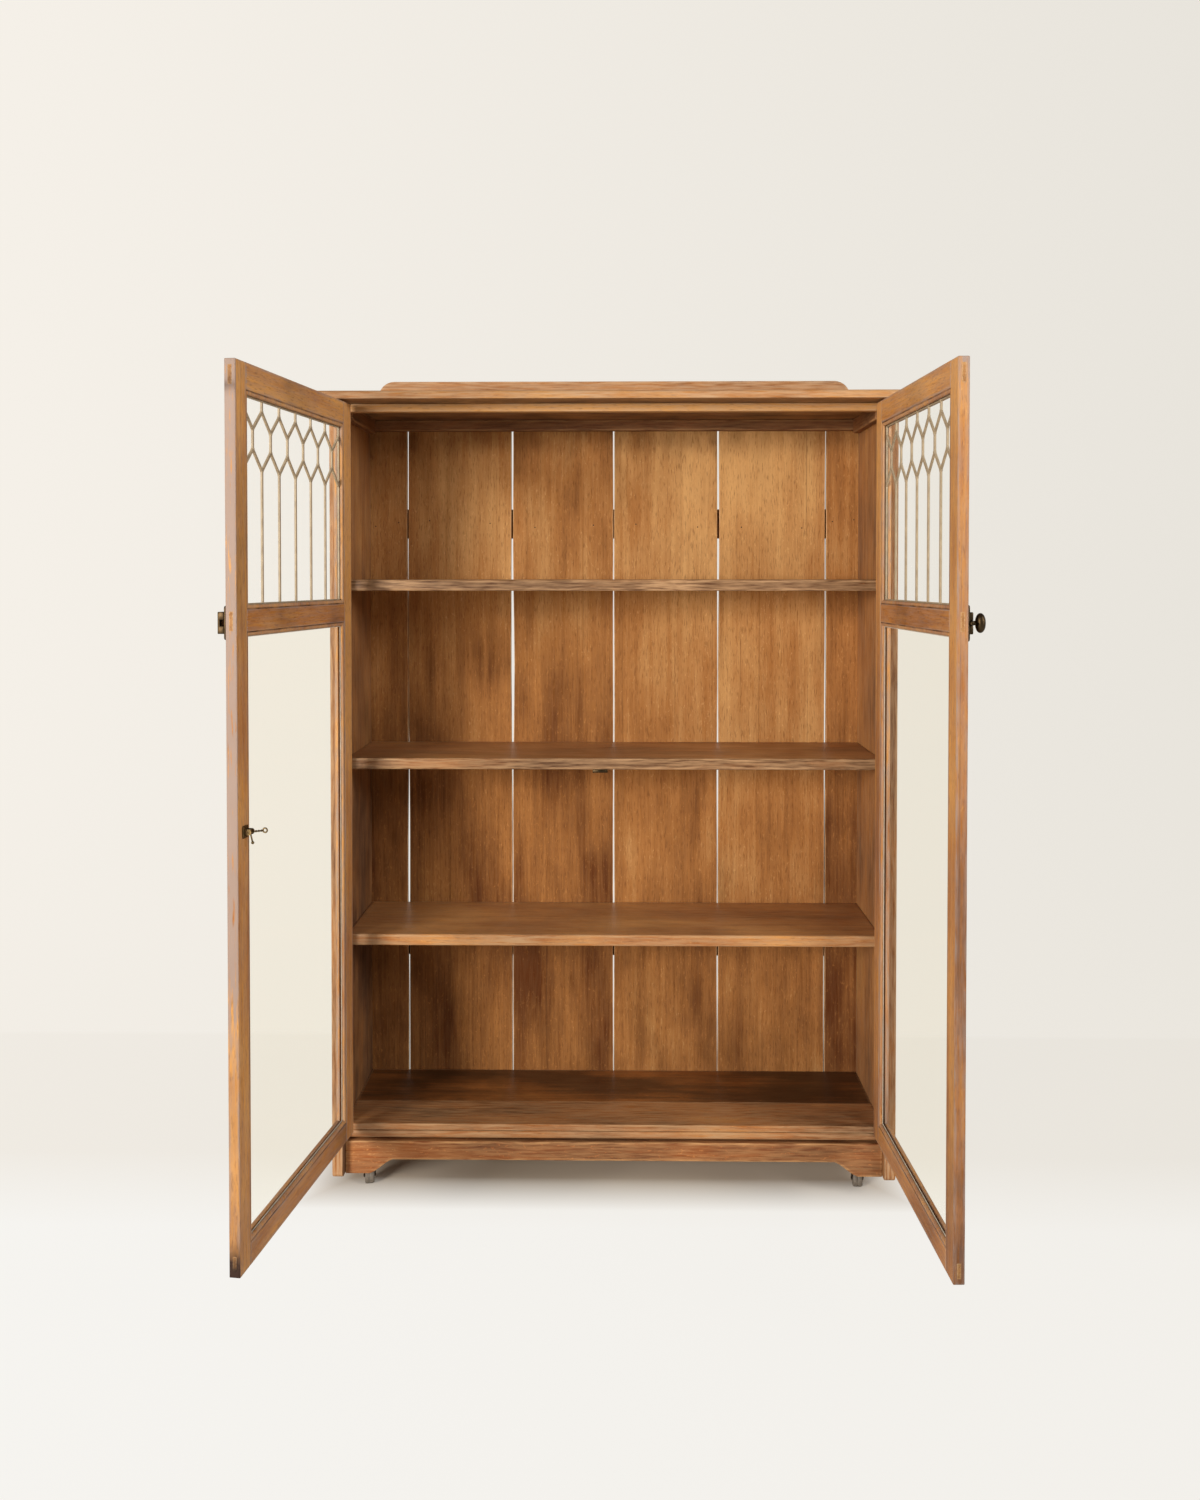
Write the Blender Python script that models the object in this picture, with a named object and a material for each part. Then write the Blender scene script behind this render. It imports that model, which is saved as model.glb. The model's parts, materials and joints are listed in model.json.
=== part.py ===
"""Oak glazed bookcase with two leaded doors, standing open on castors.

Metres, +Z up, the front towards -Y. The carcase is laid out from the floor, from the middle of its width
and from the front edges of its sides, and is then shifted so that the origin lies on the floor under the
middle of the whole object. Each door is drawn closed, in the frame of its hinge pin, and its empty turns
it open.
"""
import math

import bmesh
import bpy
from mathutils import Matrix, Vector

for leftover in list(bpy.data.objects):
    bpy.data.objects.remove(leftover, do_unlink=True)

# Clearances
SEAT_GAP = 0.0003            # between pieces that are glued, nailed or seated
RUN_GAP = 0.0004             # between pieces that turn or slide on each other
CUT_PAST = 0.004             # how far a cutter runs past the face it opens
WELD_DISTANCE = 0.00003      # points of a turned shape closer than this become one
SHARP_ANGLE = math.radians(40)   # steeper edges of a round piece stay sharp

# Carcase
CARCASE_WIDTH = 1.070
SIDE_THICKNESS = 0.021
SIDE_FOOT = 0.044            # floor to the underside of the sides
INSIDE_DEPTH = 0.294         # front edges of the sides to the face of the back planks
HOUSING_DEPTH = 0.007        # grooves in the sides that hold the shelf ends
REBATE_WIDTH = 0.010         # step at the back of the sides that holds the planks
BACK_RECESS = 0.003          # battens to the back edges of the sides

# Doors
DOOR_FOOT = 0.135            # floor to the underside of the doors
DOOR_HEIGHT = 1.3785
DOOR_THICKNESS = 0.0175
DOOR_TOP_GAP = 0.0045
HINGE_GAP = 0.001
MEETING_GAP = 0.002
STOP_GAP = 0.0015            # closed door to the pieces it shuts against
LEFT_OPENING = math.radians(97.3)
RIGHT_OPENING = math.radians(91.9)
STILE_WIDTH = 0.046
TOP_RAIL_WIDTH = 0.048
MIDDLE_RAIL_WIDTH = 0.0475
BOTTOM_RAIL_WIDTH = 0.0415
UPPER_LIGHT_HEIGHT = 0.319
TENON_THICKNESS = 0.0065
TENON_SHOULDER = 0.009       # rail edge to the edge of its tenon
BLIND_TENON_LENGTH = 0.030
GROOVE_DEPTH = 0.006
GLASS_BITE = 0.005           # how far the glass reaches into its groove
GLASS_FACE = 0.0078          # outer face of the door to the lower glass
GLASS_THICKNESS = 0.003

# Leaded lights
LEAD_FACE = 0.0068           # outer face of the door to the leads
LEAD_THICKNESS = 0.005
LEAD_WIDTH = 0.005
LEAD_PROUD = 0.001           # leads above the panes, on each face
LEAD_COLUMNS = 6
HEXAGON_TOP = 0.0177         # below the top of the light
HEXAGON_SHOULDER = 0.0483
HEXAGON_HIP = 0.0788
HEXAGON_FOOT = 0.1103

# Top
TOP_THICKNESS = 0.0155
TOP_FRONT_OVERHANG = 0.049
TOP_SIDE_OVERHANG = 0.030
TOP_EDGE_RADIUS = 0.007
TOP_EDGE_STEPS = 3
GALLERY_HEIGHT = 0.068
GALLERY_THICKNESS = 0.016
GALLERY_CORNER = 0.033
GALLERY_CORNER_STEPS = 6
GALLERY_END_INSET = 0.038    # outer face of a side to the gallery's end
GALLERY_BACK_INSET = 0.006
GALLERY_SEAT = 0.004         # depth of the stopped groove it stands in
STOP_RAIL_HEIGHT = 0.0155
STOP_RAIL_DEPTH = 0.022
BACK_RAIL_HEIGHT = 0.0225
BACK_RAIL_THICKNESS = 0.019
CLEAT_WIDTH = 0.015
CLEAT_HEIGHT = 0.029

# Shelves and bottom
SHELF_THICKNESS = 0.0215
SHELF_SETBACK = 0.042
SHELF_EDGE_RADIUS = 0.0025
SHELF_TOPS = {"shelf_upper": 1.1840, "shelf_middle": 0.8405, "shelf_lower": 0.4995}
BOTTOM_RISE = 0.0059         # underside of the doors to the top of the bottom board
BOTTOM_THICKNESS = 0.0285
NOSING_HEIGHT = 0.0135
NOSING_STEP = 0.0015

# Back
PLANK_THICKNESS = 0.010
PLANK_GAP = 0.0045
PLANK_PARTS = (79, 221, 214, 220, 226, 68)   # widths in parts of the inside width
BATTEN_THICKNESS = 0.013
BATTEN_HEIGHT = 0.0615
BATTEN_RISE = 0.2418         # top of the bottom board to the lower batten
BATTEN_DROP = 0.1858         # underside of the top to the upper batten

# Plinth
PLINTH_DROP = 0.0280         # underside of the doors to the top of the plinth
PLINTH_HEIGHT = 0.0355       # at mid length
PLINTH_THICKNESS = 0.020
BRACKET_FOOT = 0.046
BRACKET_SLOPE = 0.045
BRACKET_STEPS = 6
BRACKET_OGEE = 0.5           # how far the slope bends from a straight line, 0 to 1

# Hinges
HINGE_HEIGHT = 0.062
HINGE_INSET = 0.1935         # door end to the middle of a hinge
LEAF_THICKNESS = 0.0022
LEAF_WIDTH = 0.0165
KNUCKLE_RADIUS = 0.0035
PIN_RADIUS = 0.0018
PIN_PROUD = 0.0042           # hinge pin in front of the doors' outer faces
ROUND_SIDES = 16

# Latch and keeper, on the outer faces of the meeting stiles
LATCH_DROP = 0.0025          # middle of the middle rail to the latch
LATCH_PLATE_WIDTH = 0.036
LATCH_PLATE_HEIGHT = 0.054
PLATE_EDGE_INSET = 0.004     # free edge of the door to a plate
PLATE_THICKNESS = 0.003
GUIDE_HEIGHT = 0.013
GUIDE_DEPTH = 0.0065
GUIDE_END_INSET = 0.004
BOLT_HEIGHT = 0.0062
BOLT_THICKNESS = 0.0055
BOLT_TRAVEL = 0.010
BOLT_TIP_INSET = 0.002
SPINDLE_RADIUS = 0.0016
ROSE_RADIUS = 0.007
ROSE_THICKNESS = 0.002
NECK_RADIUS = 0.0036
NECK_LENGTH = 0.0045
KNOB_HEIGHT = 0.030
KNOB_WIDTH = 0.018
KNOB_DEPTH = 0.015
KNOB_RINGS = 8
KEEPER_PLATE_HEIGHT = 0.051
KEEPER_WIDTH = 0.022
KEEPER_BOX_HEIGHT = 0.033
KEEPER_BOX_DEPTH = 0.0105
KEEPER_SLOT_HEIGHT = 0.009

# Catch on the left door's inner face, and its strike under the middle shelf
CATCH_INSET = 0.024          # free edge of the door to the middle of the catch
CATCH_DROP = 0.0145          # underside of the middle shelf to the catch's pin
CATCH_PLATE = 0.019
CATCH_PLATE_THICKNESS = 0.002
CATCH_REACH = 0.009          # inner face of the door to the catch's pin
CHEEK_THICKNESS = 0.0025
CHEEK_RADIUS = 0.0045
HUB_RADIUS = 0.0038
HUB_WIDTH = 0.007
CATCH_PIN_RADIUS = 0.0014
RING_REACH = 0.0237          # catch's pin to the middle of the ring, straight out
RING_RISE = 0.003
RING_RADIUS = 0.0033
WIRE_RADIUS = 0.0012
WIRE_SIDES = 8
SHANK_RADIUS = 0.0013
THUMB_REACH = 0.004
THUMB_FALL = 0.0164
THUMB_BALL = 0.0024
BALL_SIDES = 10
BALL_RINGS = 6
STRIKE_WIDTH = 0.029
STRIKE_LIP = 0.0055
STRIKE_THICKNESS = 0.0013
STRIKE_DEPTH = 0.016

# Castors
CASTOR_RAIL_WIDTH = 0.062
CASTOR_RAIL_FOOT = 0.047
CASTOR_INSET = 0.038         # inner face of a side to a castor's stem
CASTOR_END_INSET = 0.027     # end of the castor rail to a castor's stem
WHEEL_RADIUS = 0.0165
WHEEL_WIDTH = 0.018
WHEEL_SIDES = 24
TREAD_ROUND = 0.002
CASTOR_TRAIL = 0.009
HORN_THICKNESS = 0.0022
HORN_TOP_RADIUS = 0.0095
HORN_BRIDGE = 0.005
HORN_EYE_RADIUS = 0.0045
AXLE_RADIUS = 0.0022
STEM_RADIUS = 0.004
STEM_LENGTH = 0.024
CASTOR_TURNS = {"front_left": 102, "front_right": 86, "rear_left": 65, "rear_right": 100}   # degrees

# Places that follow from the sizes above
INSIDE_HALF = CARCASE_WIDTH / 2 - SIDE_THICKNESS
SIDE_DEPTH = INSIDE_DEPTH + PLANK_THICKNESS + BATTEN_THICKNESS + BACK_RECESS
DOOR_TOP = DOOR_FOOT + DOOR_HEIGHT
TOP_UNDERSIDE = DOOR_TOP + DOOR_TOP_GAP
TOP_FACE = TOP_UNDERSIDE + TOP_THICKNESS
DOOR_WIDTH = INSIDE_HALF - HINGE_GAP - MEETING_GAP / 2
STOP_FACE = DOOR_THICKNESS + STOP_GAP
BOTTOM_FACE = DOOR_FOOT + BOTTOM_RISE
BOTTOM_UNDERSIDE = BOTTOM_FACE - BOTTOM_THICKNESS
PLINTH_TOP = DOOR_FOOT - PLINTH_DROP
PLINTH_BACK = STOP_FACE + PLINTH_THICKNESS
REBATE_HALF = INSIDE_HALF + REBATE_WIDTH
LIGHT_LEFT = STILE_WIDTH
LIGHT_RIGHT = DOOR_WIDTH - STILE_WIDTH
UPPER_LIGHT = (DOOR_TOP - TOP_RAIL_WIDTH - UPPER_LIGHT_HEIGHT, DOOR_TOP - TOP_RAIL_WIDTH)
LOWER_LIGHT = (DOOR_FOOT + BOTTOM_RAIL_WIDTH, UPPER_LIGHT[0] - MIDDLE_RAIL_WIDTH)
RAILS = {
    "top_rail": (UPPER_LIGHT[1], DOOR_TOP),
    "middle_rail": (LOWER_LIGHT[1], UPPER_LIGHT[0]),
    "bottom_rail": (DOOR_FOOT, LOWER_LIGHT[0]),
}
HINGE_CENTRES = {"lower": DOOR_FOOT + HINGE_INSET, "upper": DOOR_TOP - HINGE_INSET}
LATCH_HEIGHT = (RAILS["middle_rail"][0] + RAILS["middle_rail"][1]) / 2 - LATCH_DROP
MIDDLE_SHELF_UNDERSIDE = SHELF_TOPS["shelf_middle"] - SHELF_THICKNESS
CATCH_HEIGHT = MIDDLE_SHELF_UNDERSIDE - CATCH_DROP
CASTOR_ROWS = {
    "front": PLINTH_BACK + SEAT_GAP + CASTOR_END_INSET,
    "rear": INSIDE_DEPTH - SEAT_GAP - CASTOR_END_INSET,
}
HANDS = {"left": 1, "right": -1}    # drawn as the left one, mirrored for the right


def finish(name, colour, roughness, metallic=0.0):
    """A plain material with the piece's colour from the photograph."""
    material = bpy.data.materials.new(name)
    material.use_nodes = True
    shader = material.node_tree.nodes["Principled BSDF"]
    shader.inputs["Base Color"].default_value = (*colour, 1.0)
    shader.inputs["Roughness"].default_value = roughness
    shader.inputs["Metallic"].default_value = metallic
    return material


OAK = finish("oak", (0.30, 0.15, 0.062), 0.55)
OAK_INSIDE = finish("oak_inside", (0.24, 0.11, 0.042), 0.6)
OAK_BACK = finish("oak_back", (0.33, 0.155, 0.058), 0.55)
OAK_WORN = finish("oak_worn", (0.34, 0.20, 0.10), 0.65)
GLASS = finish("window_glass", (0.85, 0.88, 0.85), 0.05)
LEADED = finish("leaded_glass", (0.36, 0.30, 0.23), 0.5)
BRONZE = finish("dark_bronze", (0.085, 0.065, 0.045), 0.45, 1.0)
IRON = finish("iron", (0.10, 0.085, 0.07), 0.6, 1.0)
WHEEL = finish("wheel_wood", (0.20, 0.16, 0.13), 0.6)


def empty(name, location, parent=None, turn=0.0):
    """A frame on a joint's axis that carries the pieces that turn about it."""
    frame = bpy.data.objects.new(name, None)
    bpy.context.collection.objects.link(frame)
    frame.location = location
    frame.rotation_euler = (0.0, 0.0, turn)
    frame.parent = parent
    return frame


def add_object(name, mesh_data, material, parent):
    """Turn a bmesh into a named object under its parent, with its faces pointing out."""
    bmesh.ops.recalc_face_normals(mesh_data, faces=mesh_data.faces)
    mesh = bpy.data.meshes.new(name)
    mesh_data.to_mesh(mesh)
    mesh_data.free()
    piece = bpy.data.objects.new(name, mesh)
    bpy.context.collection.objects.link(piece)
    piece.parent = parent
    if material:
        mesh.materials.append(material)
    return piece


def add_box(mesh_data, low, high):
    """Add a box between two corners, given in any order."""
    corners = [sorted(pair) for pair in zip(low, high)]
    size = [top - bottom for bottom, top in corners]
    middle = [(top + bottom) / 2 for bottom, top in corners]
    place = Matrix.Translation(middle) @ Matrix.Diagonal((*size, 1.0))
    return bmesh.ops.create_cube(mesh_data, size=1.0, matrix=place)["verts"]


def add_rod(mesh_data, start, end, radius, sides=ROUND_SIDES):
    """Add a closed round bar from one point to another."""
    along = Vector(end) - Vector(start)
    turn = along.to_track_quat("Z", "Y").to_matrix().to_4x4()
    place = Matrix.Translation((Vector(start) + Vector(end)) / 2) @ turn
    return bmesh.ops.create_cone(
        mesh_data, cap_ends=True, segments=sides, radius1=radius, radius2=radius,
        depth=along.length, matrix=place,
    )["verts"]


def add_prism(mesh_data, outline, place, depth):
    """Extrude a flat outline: place puts its (x, y) in the model, and depth runs along place's Z."""
    verts = [mesh_data.verts.new(place @ Vector((x, y, 0.0))) for x, y in outline]
    face = mesh_data.faces.new(verts)
    swept = bmesh.ops.extrude_face_region(mesh_data, geom=[face])
    moved = [item for item in swept["geom"] if isinstance(item, bmesh.types.BMVert)]
    bmesh.ops.translate(mesh_data, verts=moved, vec=place.to_3x3() @ Vector((0.0, 0.0, depth)))


def block(name, low, high, material, parent, rounded=None, radius=0.0, segments=2):
    """A box; rounded picks the edges to round off, by a test on each edge's middle."""
    mesh_data = bmesh.new()
    add_box(mesh_data, low, high)
    if rounded:
        edges = [e for e in mesh_data.edges if rounded((e.verts[0].co + e.verts[1].co) / 2)]
        bmesh.ops.bevel(
            mesh_data, geom=edges, offset=radius, segments=segments, profile=0.5, affect="EDGES",
            material=-1,
        )
    return add_object(name, mesh_data, material, parent)


def tool(name, mesh_data, parent):
    """A helper solid that a Boolean reads: kept out of the model itself."""
    helper = add_object(name, mesh_data, None, parent)
    helper.hide_render = True
    helper.display_type = "WIRE"
    return helper


def boolean(piece, helper, operation):
    step = piece.modifiers.new(helper.name, "BOOLEAN")
    step.operation = operation
    step.object = helper
    step.solver = "EXACT"


def carve(piece, mesh_data):
    """Cut the shapes in mesh_data out of a piece."""
    boolean(piece, tool(piece.name + "_cut", mesh_data, piece.parent), "DIFFERENCE")


def fuse(piece, label, mesh_data):
    """Join the shapes in mesh_data to a piece."""
    boolean(piece, tool(piece.name + "_" + label, mesh_data, piece.parent), "UNION")


def smooth(piece):
    """Shade a round piece smooth, with its real edges kept sharp."""
    piece.data.shade_smooth()
    piece.data.set_sharp_from_angle(angle=SHARP_ANGLE)


ROOT = empty("cabinet", (0.0, 0.0, 0.0))
PIVOTS = {}
for hand, opening in (("left", LEFT_OPENING), ("right", RIGHT_OPENING)):
    sign = HANDS[hand]
    axis = (sign * (HINGE_GAP / 2 - INSIDE_HALF), -PIN_PROUD, 0.0)
    PIVOTS[hand] = empty(hand + "_door_pivot", axis, ROOT, -sign * opening)


# Sides: one board each, with a rebate for the planks, housings for the shelves and beds for the hinges
def make_side(hand):
    sign = HANDS[hand]
    outer = -sign * CARCASE_WIDTH / 2
    inner = -sign * INSIDE_HALF
    side = block(
        "side_" + hand, (outer, 0.0, SIDE_FOOT), (inner, SIDE_DEPTH, TOP_UNDERSIDE - SEAT_GAP), OAK, ROOT,
    )
    cuts = bmesh.new()
    past = inner + sign * CUT_PAST
    add_box(
        cuts, (-sign * REBATE_HALF, INSIDE_DEPTH, BOTTOM_UNDERSIDE - SEAT_GAP),
        (past, SIDE_DEPTH + CUT_PAST, TOP_FACE),
    )
    housing_floor = inner - sign * HOUSING_DEPTH
    for top in SHELF_TOPS.values():
        add_box(
            cuts, (housing_floor, SHELF_SETBACK - SEAT_GAP, top - SHELF_THICKNESS - SEAT_GAP),
            (past, INSIDE_DEPTH - SEAT_GAP / 2, top + SEAT_GAP),
        )
    add_box(
        cuts, (housing_floor, STOP_FACE - SEAT_GAP, BOTTOM_UNDERSIDE + SEAT_GAP),
        (past, INSIDE_DEPTH - SEAT_GAP / 2, BOTTOM_FACE + SEAT_GAP),
    )
    for centre in HINGE_CENTRES.values():
        half = HINGE_HEIGHT / 2 + SEAT_GAP
        add_box(
            cuts, (inner - sign * (LEAF_THICKNESS + SEAT_GAP), -CUT_PAST, centre - half),
            (past, LEAF_WIDTH + SEAT_GAP, centre + half),
        )
    carve(side, cuts)


for hand in HANDS:
    make_side(hand)

# Top: a board with a rounded upper edge at the front and ends, and what stands on it and hangs below it
top_half = CARCASE_WIDTH / 2 + TOP_SIDE_OVERHANG
top_board = block(
    "top_board", (-top_half, -TOP_FRONT_OVERHANG, TOP_UNDERSIDE), (top_half, SIDE_DEPTH, TOP_FACE),
    OAK, ROOT,
    rounded=lambda middle: middle.z > TOP_FACE - SEAT_GAP and middle.y < SIDE_DEPTH - SEAT_GAP,
    radius=TOP_EDGE_RADIUS, segments=TOP_EDGE_STEPS,
)

gallery_half = CARCASE_WIDTH / 2 - GALLERY_END_INSET
gallery_front = SIDE_DEPTH - GALLERY_BACK_INSET - GALLERY_THICKNESS
gallery_top = TOP_FACE + GALLERY_HEIGHT
gallery_seat = TOP_FACE - GALLERY_SEAT
groove = bmesh.new()
add_box(
    groove, (-gallery_half - SEAT_GAP, gallery_front - SEAT_GAP, gallery_seat),
    (gallery_half + SEAT_GAP, gallery_front + GALLERY_THICKNESS + SEAT_GAP, TOP_FACE + CUT_PAST),
)
carve(top_board, groove)
block(
    "gallery_board", (-gallery_half, gallery_front, gallery_seat + SEAT_GAP),
    (gallery_half, gallery_front + GALLERY_THICKNESS, gallery_top), OAK, ROOT,
    rounded=lambda middle: abs(middle.x) > gallery_half - SEAT_GAP and middle.z > gallery_top - SEAT_GAP,
    radius=GALLERY_CORNER, segments=GALLERY_CORNER_STEPS,
)

block(
    "top_stop_rail", (-INSIDE_HALF + SEAT_GAP, STOP_FACE, TOP_UNDERSIDE - STOP_RAIL_HEIGHT),
    (INSIDE_HALF - SEAT_GAP, STOP_FACE + STOP_RAIL_DEPTH, TOP_UNDERSIDE - SEAT_GAP), OAK, ROOT,
)

stop_rail_back = STOP_FACE + STOP_RAIL_DEPTH
back_rail_front = INSIDE_DEPTH - SEAT_GAP - BACK_RAIL_THICKNESS
block(
    "back_top_rail", (-INSIDE_HALF + SEAT_GAP, back_rail_front, TOP_UNDERSIDE - BACK_RAIL_HEIGHT),
    (INSIDE_HALF - SEAT_GAP, INSIDE_DEPTH - SEAT_GAP, TOP_UNDERSIDE - SEAT_GAP), OAK_INSIDE, ROOT,
)

for hand, sign in HANDS.items():
    block(
        "top_cleat_" + hand,
        (sign * (SEAT_GAP - INSIDE_HALF), stop_rail_back + SEAT_GAP, TOP_UNDERSIDE - CLEAT_HEIGHT),
        (sign * (CLEAT_WIDTH - INSIDE_HALF), back_rail_front - SEAT_GAP, TOP_UNDERSIDE - SEAT_GAP),
        OAK_INSIDE, ROOT,
    )

# Shelves, housed in the sides and stopped short of the doors
shelf_half = INSIDE_HALF + HOUSING_DEPTH - SEAT_GAP
for name, top in SHELF_TOPS.items():
    block(
        name, (-shelf_half, SHELF_SETBACK, top - SHELF_THICKNESS),
        (shelf_half, INSIDE_DEPTH - SEAT_GAP, top), OAK_WORN, ROOT,
        rounded=lambda middle: middle.y < SHELF_SETBACK + SEAT_GAP and middle.x == 0.0,
        radius=SHELF_EDGE_RADIUS,
    )


# Bottom board, with a nosing along the upper half of its front edge
def make_bottom_board():
    nosing_foot = BOTTOM_FACE - NOSING_HEIGHT
    outline = [
        (STOP_FACE + NOSING_STEP, BOTTOM_UNDERSIDE + 2 * SEAT_GAP),
        (STOP_FACE + NOSING_STEP, nosing_foot),
        (STOP_FACE, nosing_foot + NOSING_STEP),
        (STOP_FACE, BOTTOM_FACE - NOSING_STEP),
        (STOP_FACE + NOSING_STEP, BOTTOM_FACE),
        (INSIDE_DEPTH - SEAT_GAP, BOTTOM_FACE),
        (INSIDE_DEPTH - SEAT_GAP, BOTTOM_UNDERSIDE + 2 * SEAT_GAP),
    ]
    mesh_data = bmesh.new()
    across = Matrix(((0, 0, 1, -shelf_half), (1, 0, 0, 0), (0, 1, 0, 0), (0, 0, 0, 1)))
    add_prism(mesh_data, outline, across, 2 * shelf_half)
    add_object("bottom_board", mesh_data, OAK_WORN, ROOT)


make_bottom_board()


# Plinth: a shallow board between the sides that swells into a bracket at each end
def bracket_curve():
    """Points of one bracket's ogee, from the mid length down to its foot, as (run, fall) from 0 to 1."""
    points = []
    for step in range(BRACKET_STEPS + 1):
        run = step / BRACKET_STEPS
        bent = (1 - math.cos(math.pi * run)) / 2
        points.append((run, (1 - BRACKET_OGEE) * run + BRACKET_OGEE * bent))
    return points


def make_plinth():
    half = INSIDE_HALF - SEAT_GAP
    foot_inner = half - BRACKET_FOOT
    arch = PLINTH_TOP - PLINTH_HEIGHT
    outline = [(-half, PLINTH_TOP), (-half, SIDE_FOOT)]
    curve = bracket_curve()
    for run, fall in reversed(curve):
        outline.append((-foot_inner + BRACKET_SLOPE * (1 - run), arch - (arch - SIDE_FOOT) * fall))
    for run, fall in curve:
        outline.append((foot_inner - BRACKET_SLOPE * (1 - run), arch - (arch - SIDE_FOOT) * fall))
    outline += [(half, SIDE_FOOT), (half, PLINTH_TOP)]
    mesh_data = bmesh.new()
    upright = Matrix(((1, 0, 0, 0), (0, 0, 1, STOP_FACE), (0, 1, 0, 0), (0, 0, 0, 1)))
    add_prism(mesh_data, outline, upright, PLINTH_THICKNESS)
    add_object("plinth", mesh_data, OAK, ROOT)


make_plinth()


# Back: upright planks nailed into the rebates with gaps between them, and two battens across them
def make_back():
    left_edge = -REBATE_HALF + SEAT_GAP
    reached = -INSIDE_HALF
    for number, part in enumerate(PLANK_PARTS, start=1):
        reached += 2 * INSIDE_HALF * part / sum(PLANK_PARTS)
        last = number == len(PLANK_PARTS)
        right_edge = REBATE_HALF - SEAT_GAP if last else reached - PLANK_GAP / 2
        block(
            f"back_plank_{number}", (left_edge, INSIDE_DEPTH, BOTTOM_UNDERSIDE),
            (right_edge, INSIDE_DEPTH + PLANK_THICKNESS, TOP_UNDERSIDE - SEAT_GAP), OAK_BACK, ROOT,
        )
        left_edge = right_edge + PLANK_GAP
    batten_front = INSIDE_DEPTH + PLANK_THICKNESS + SEAT_GAP
    batten_feet = {
        "lower": BOTTOM_FACE + BATTEN_RISE,
        "upper": TOP_UNDERSIDE - BATTEN_DROP - BATTEN_HEIGHT,
    }
    for level, foot in batten_feet.items():
        block(
            "back_batten_" + level, (-REBATE_HALF + SEAT_GAP, batten_front, foot),
            (REBATE_HALF - SEAT_GAP, batten_front + BATTEN_THICKNESS, foot + BATTEN_HEIGHT),
            OAK_INSIDE, ROOT,
        )


make_back()

# Castor rails: bearers under the bottom board, bored for the castors' stems
for hand, sign in HANDS.items():
    outer = sign * (SEAT_GAP - INSIDE_HALF)
    inner = sign * (CASTOR_RAIL_WIDTH - INSIDE_HALF)
    rail = block(
        "castor_rail_" + hand, (outer, PLINTH_BACK + SEAT_GAP, CASTOR_RAIL_FOOT),
        (inner, INSIDE_DEPTH - SEAT_GAP, BOTTOM_UNDERSIDE), OAK_INSIDE, ROOT,
    )
    sockets = bmesh.new()
    for row in CASTOR_ROWS.values():
        stem = Vector((sign * (CASTOR_INSET - INSIDE_HALF), row, CASTOR_RAIL_FOOT))
        depth = Vector((0.0, 0.0, STEM_LENGTH + RUN_GAP))
        add_rod(sockets, stem - Vector((0.0, 0.0, CUT_PAST)), stem + depth, STEM_RADIUS + RUN_GAP)
    carve(rail, sockets)


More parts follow.
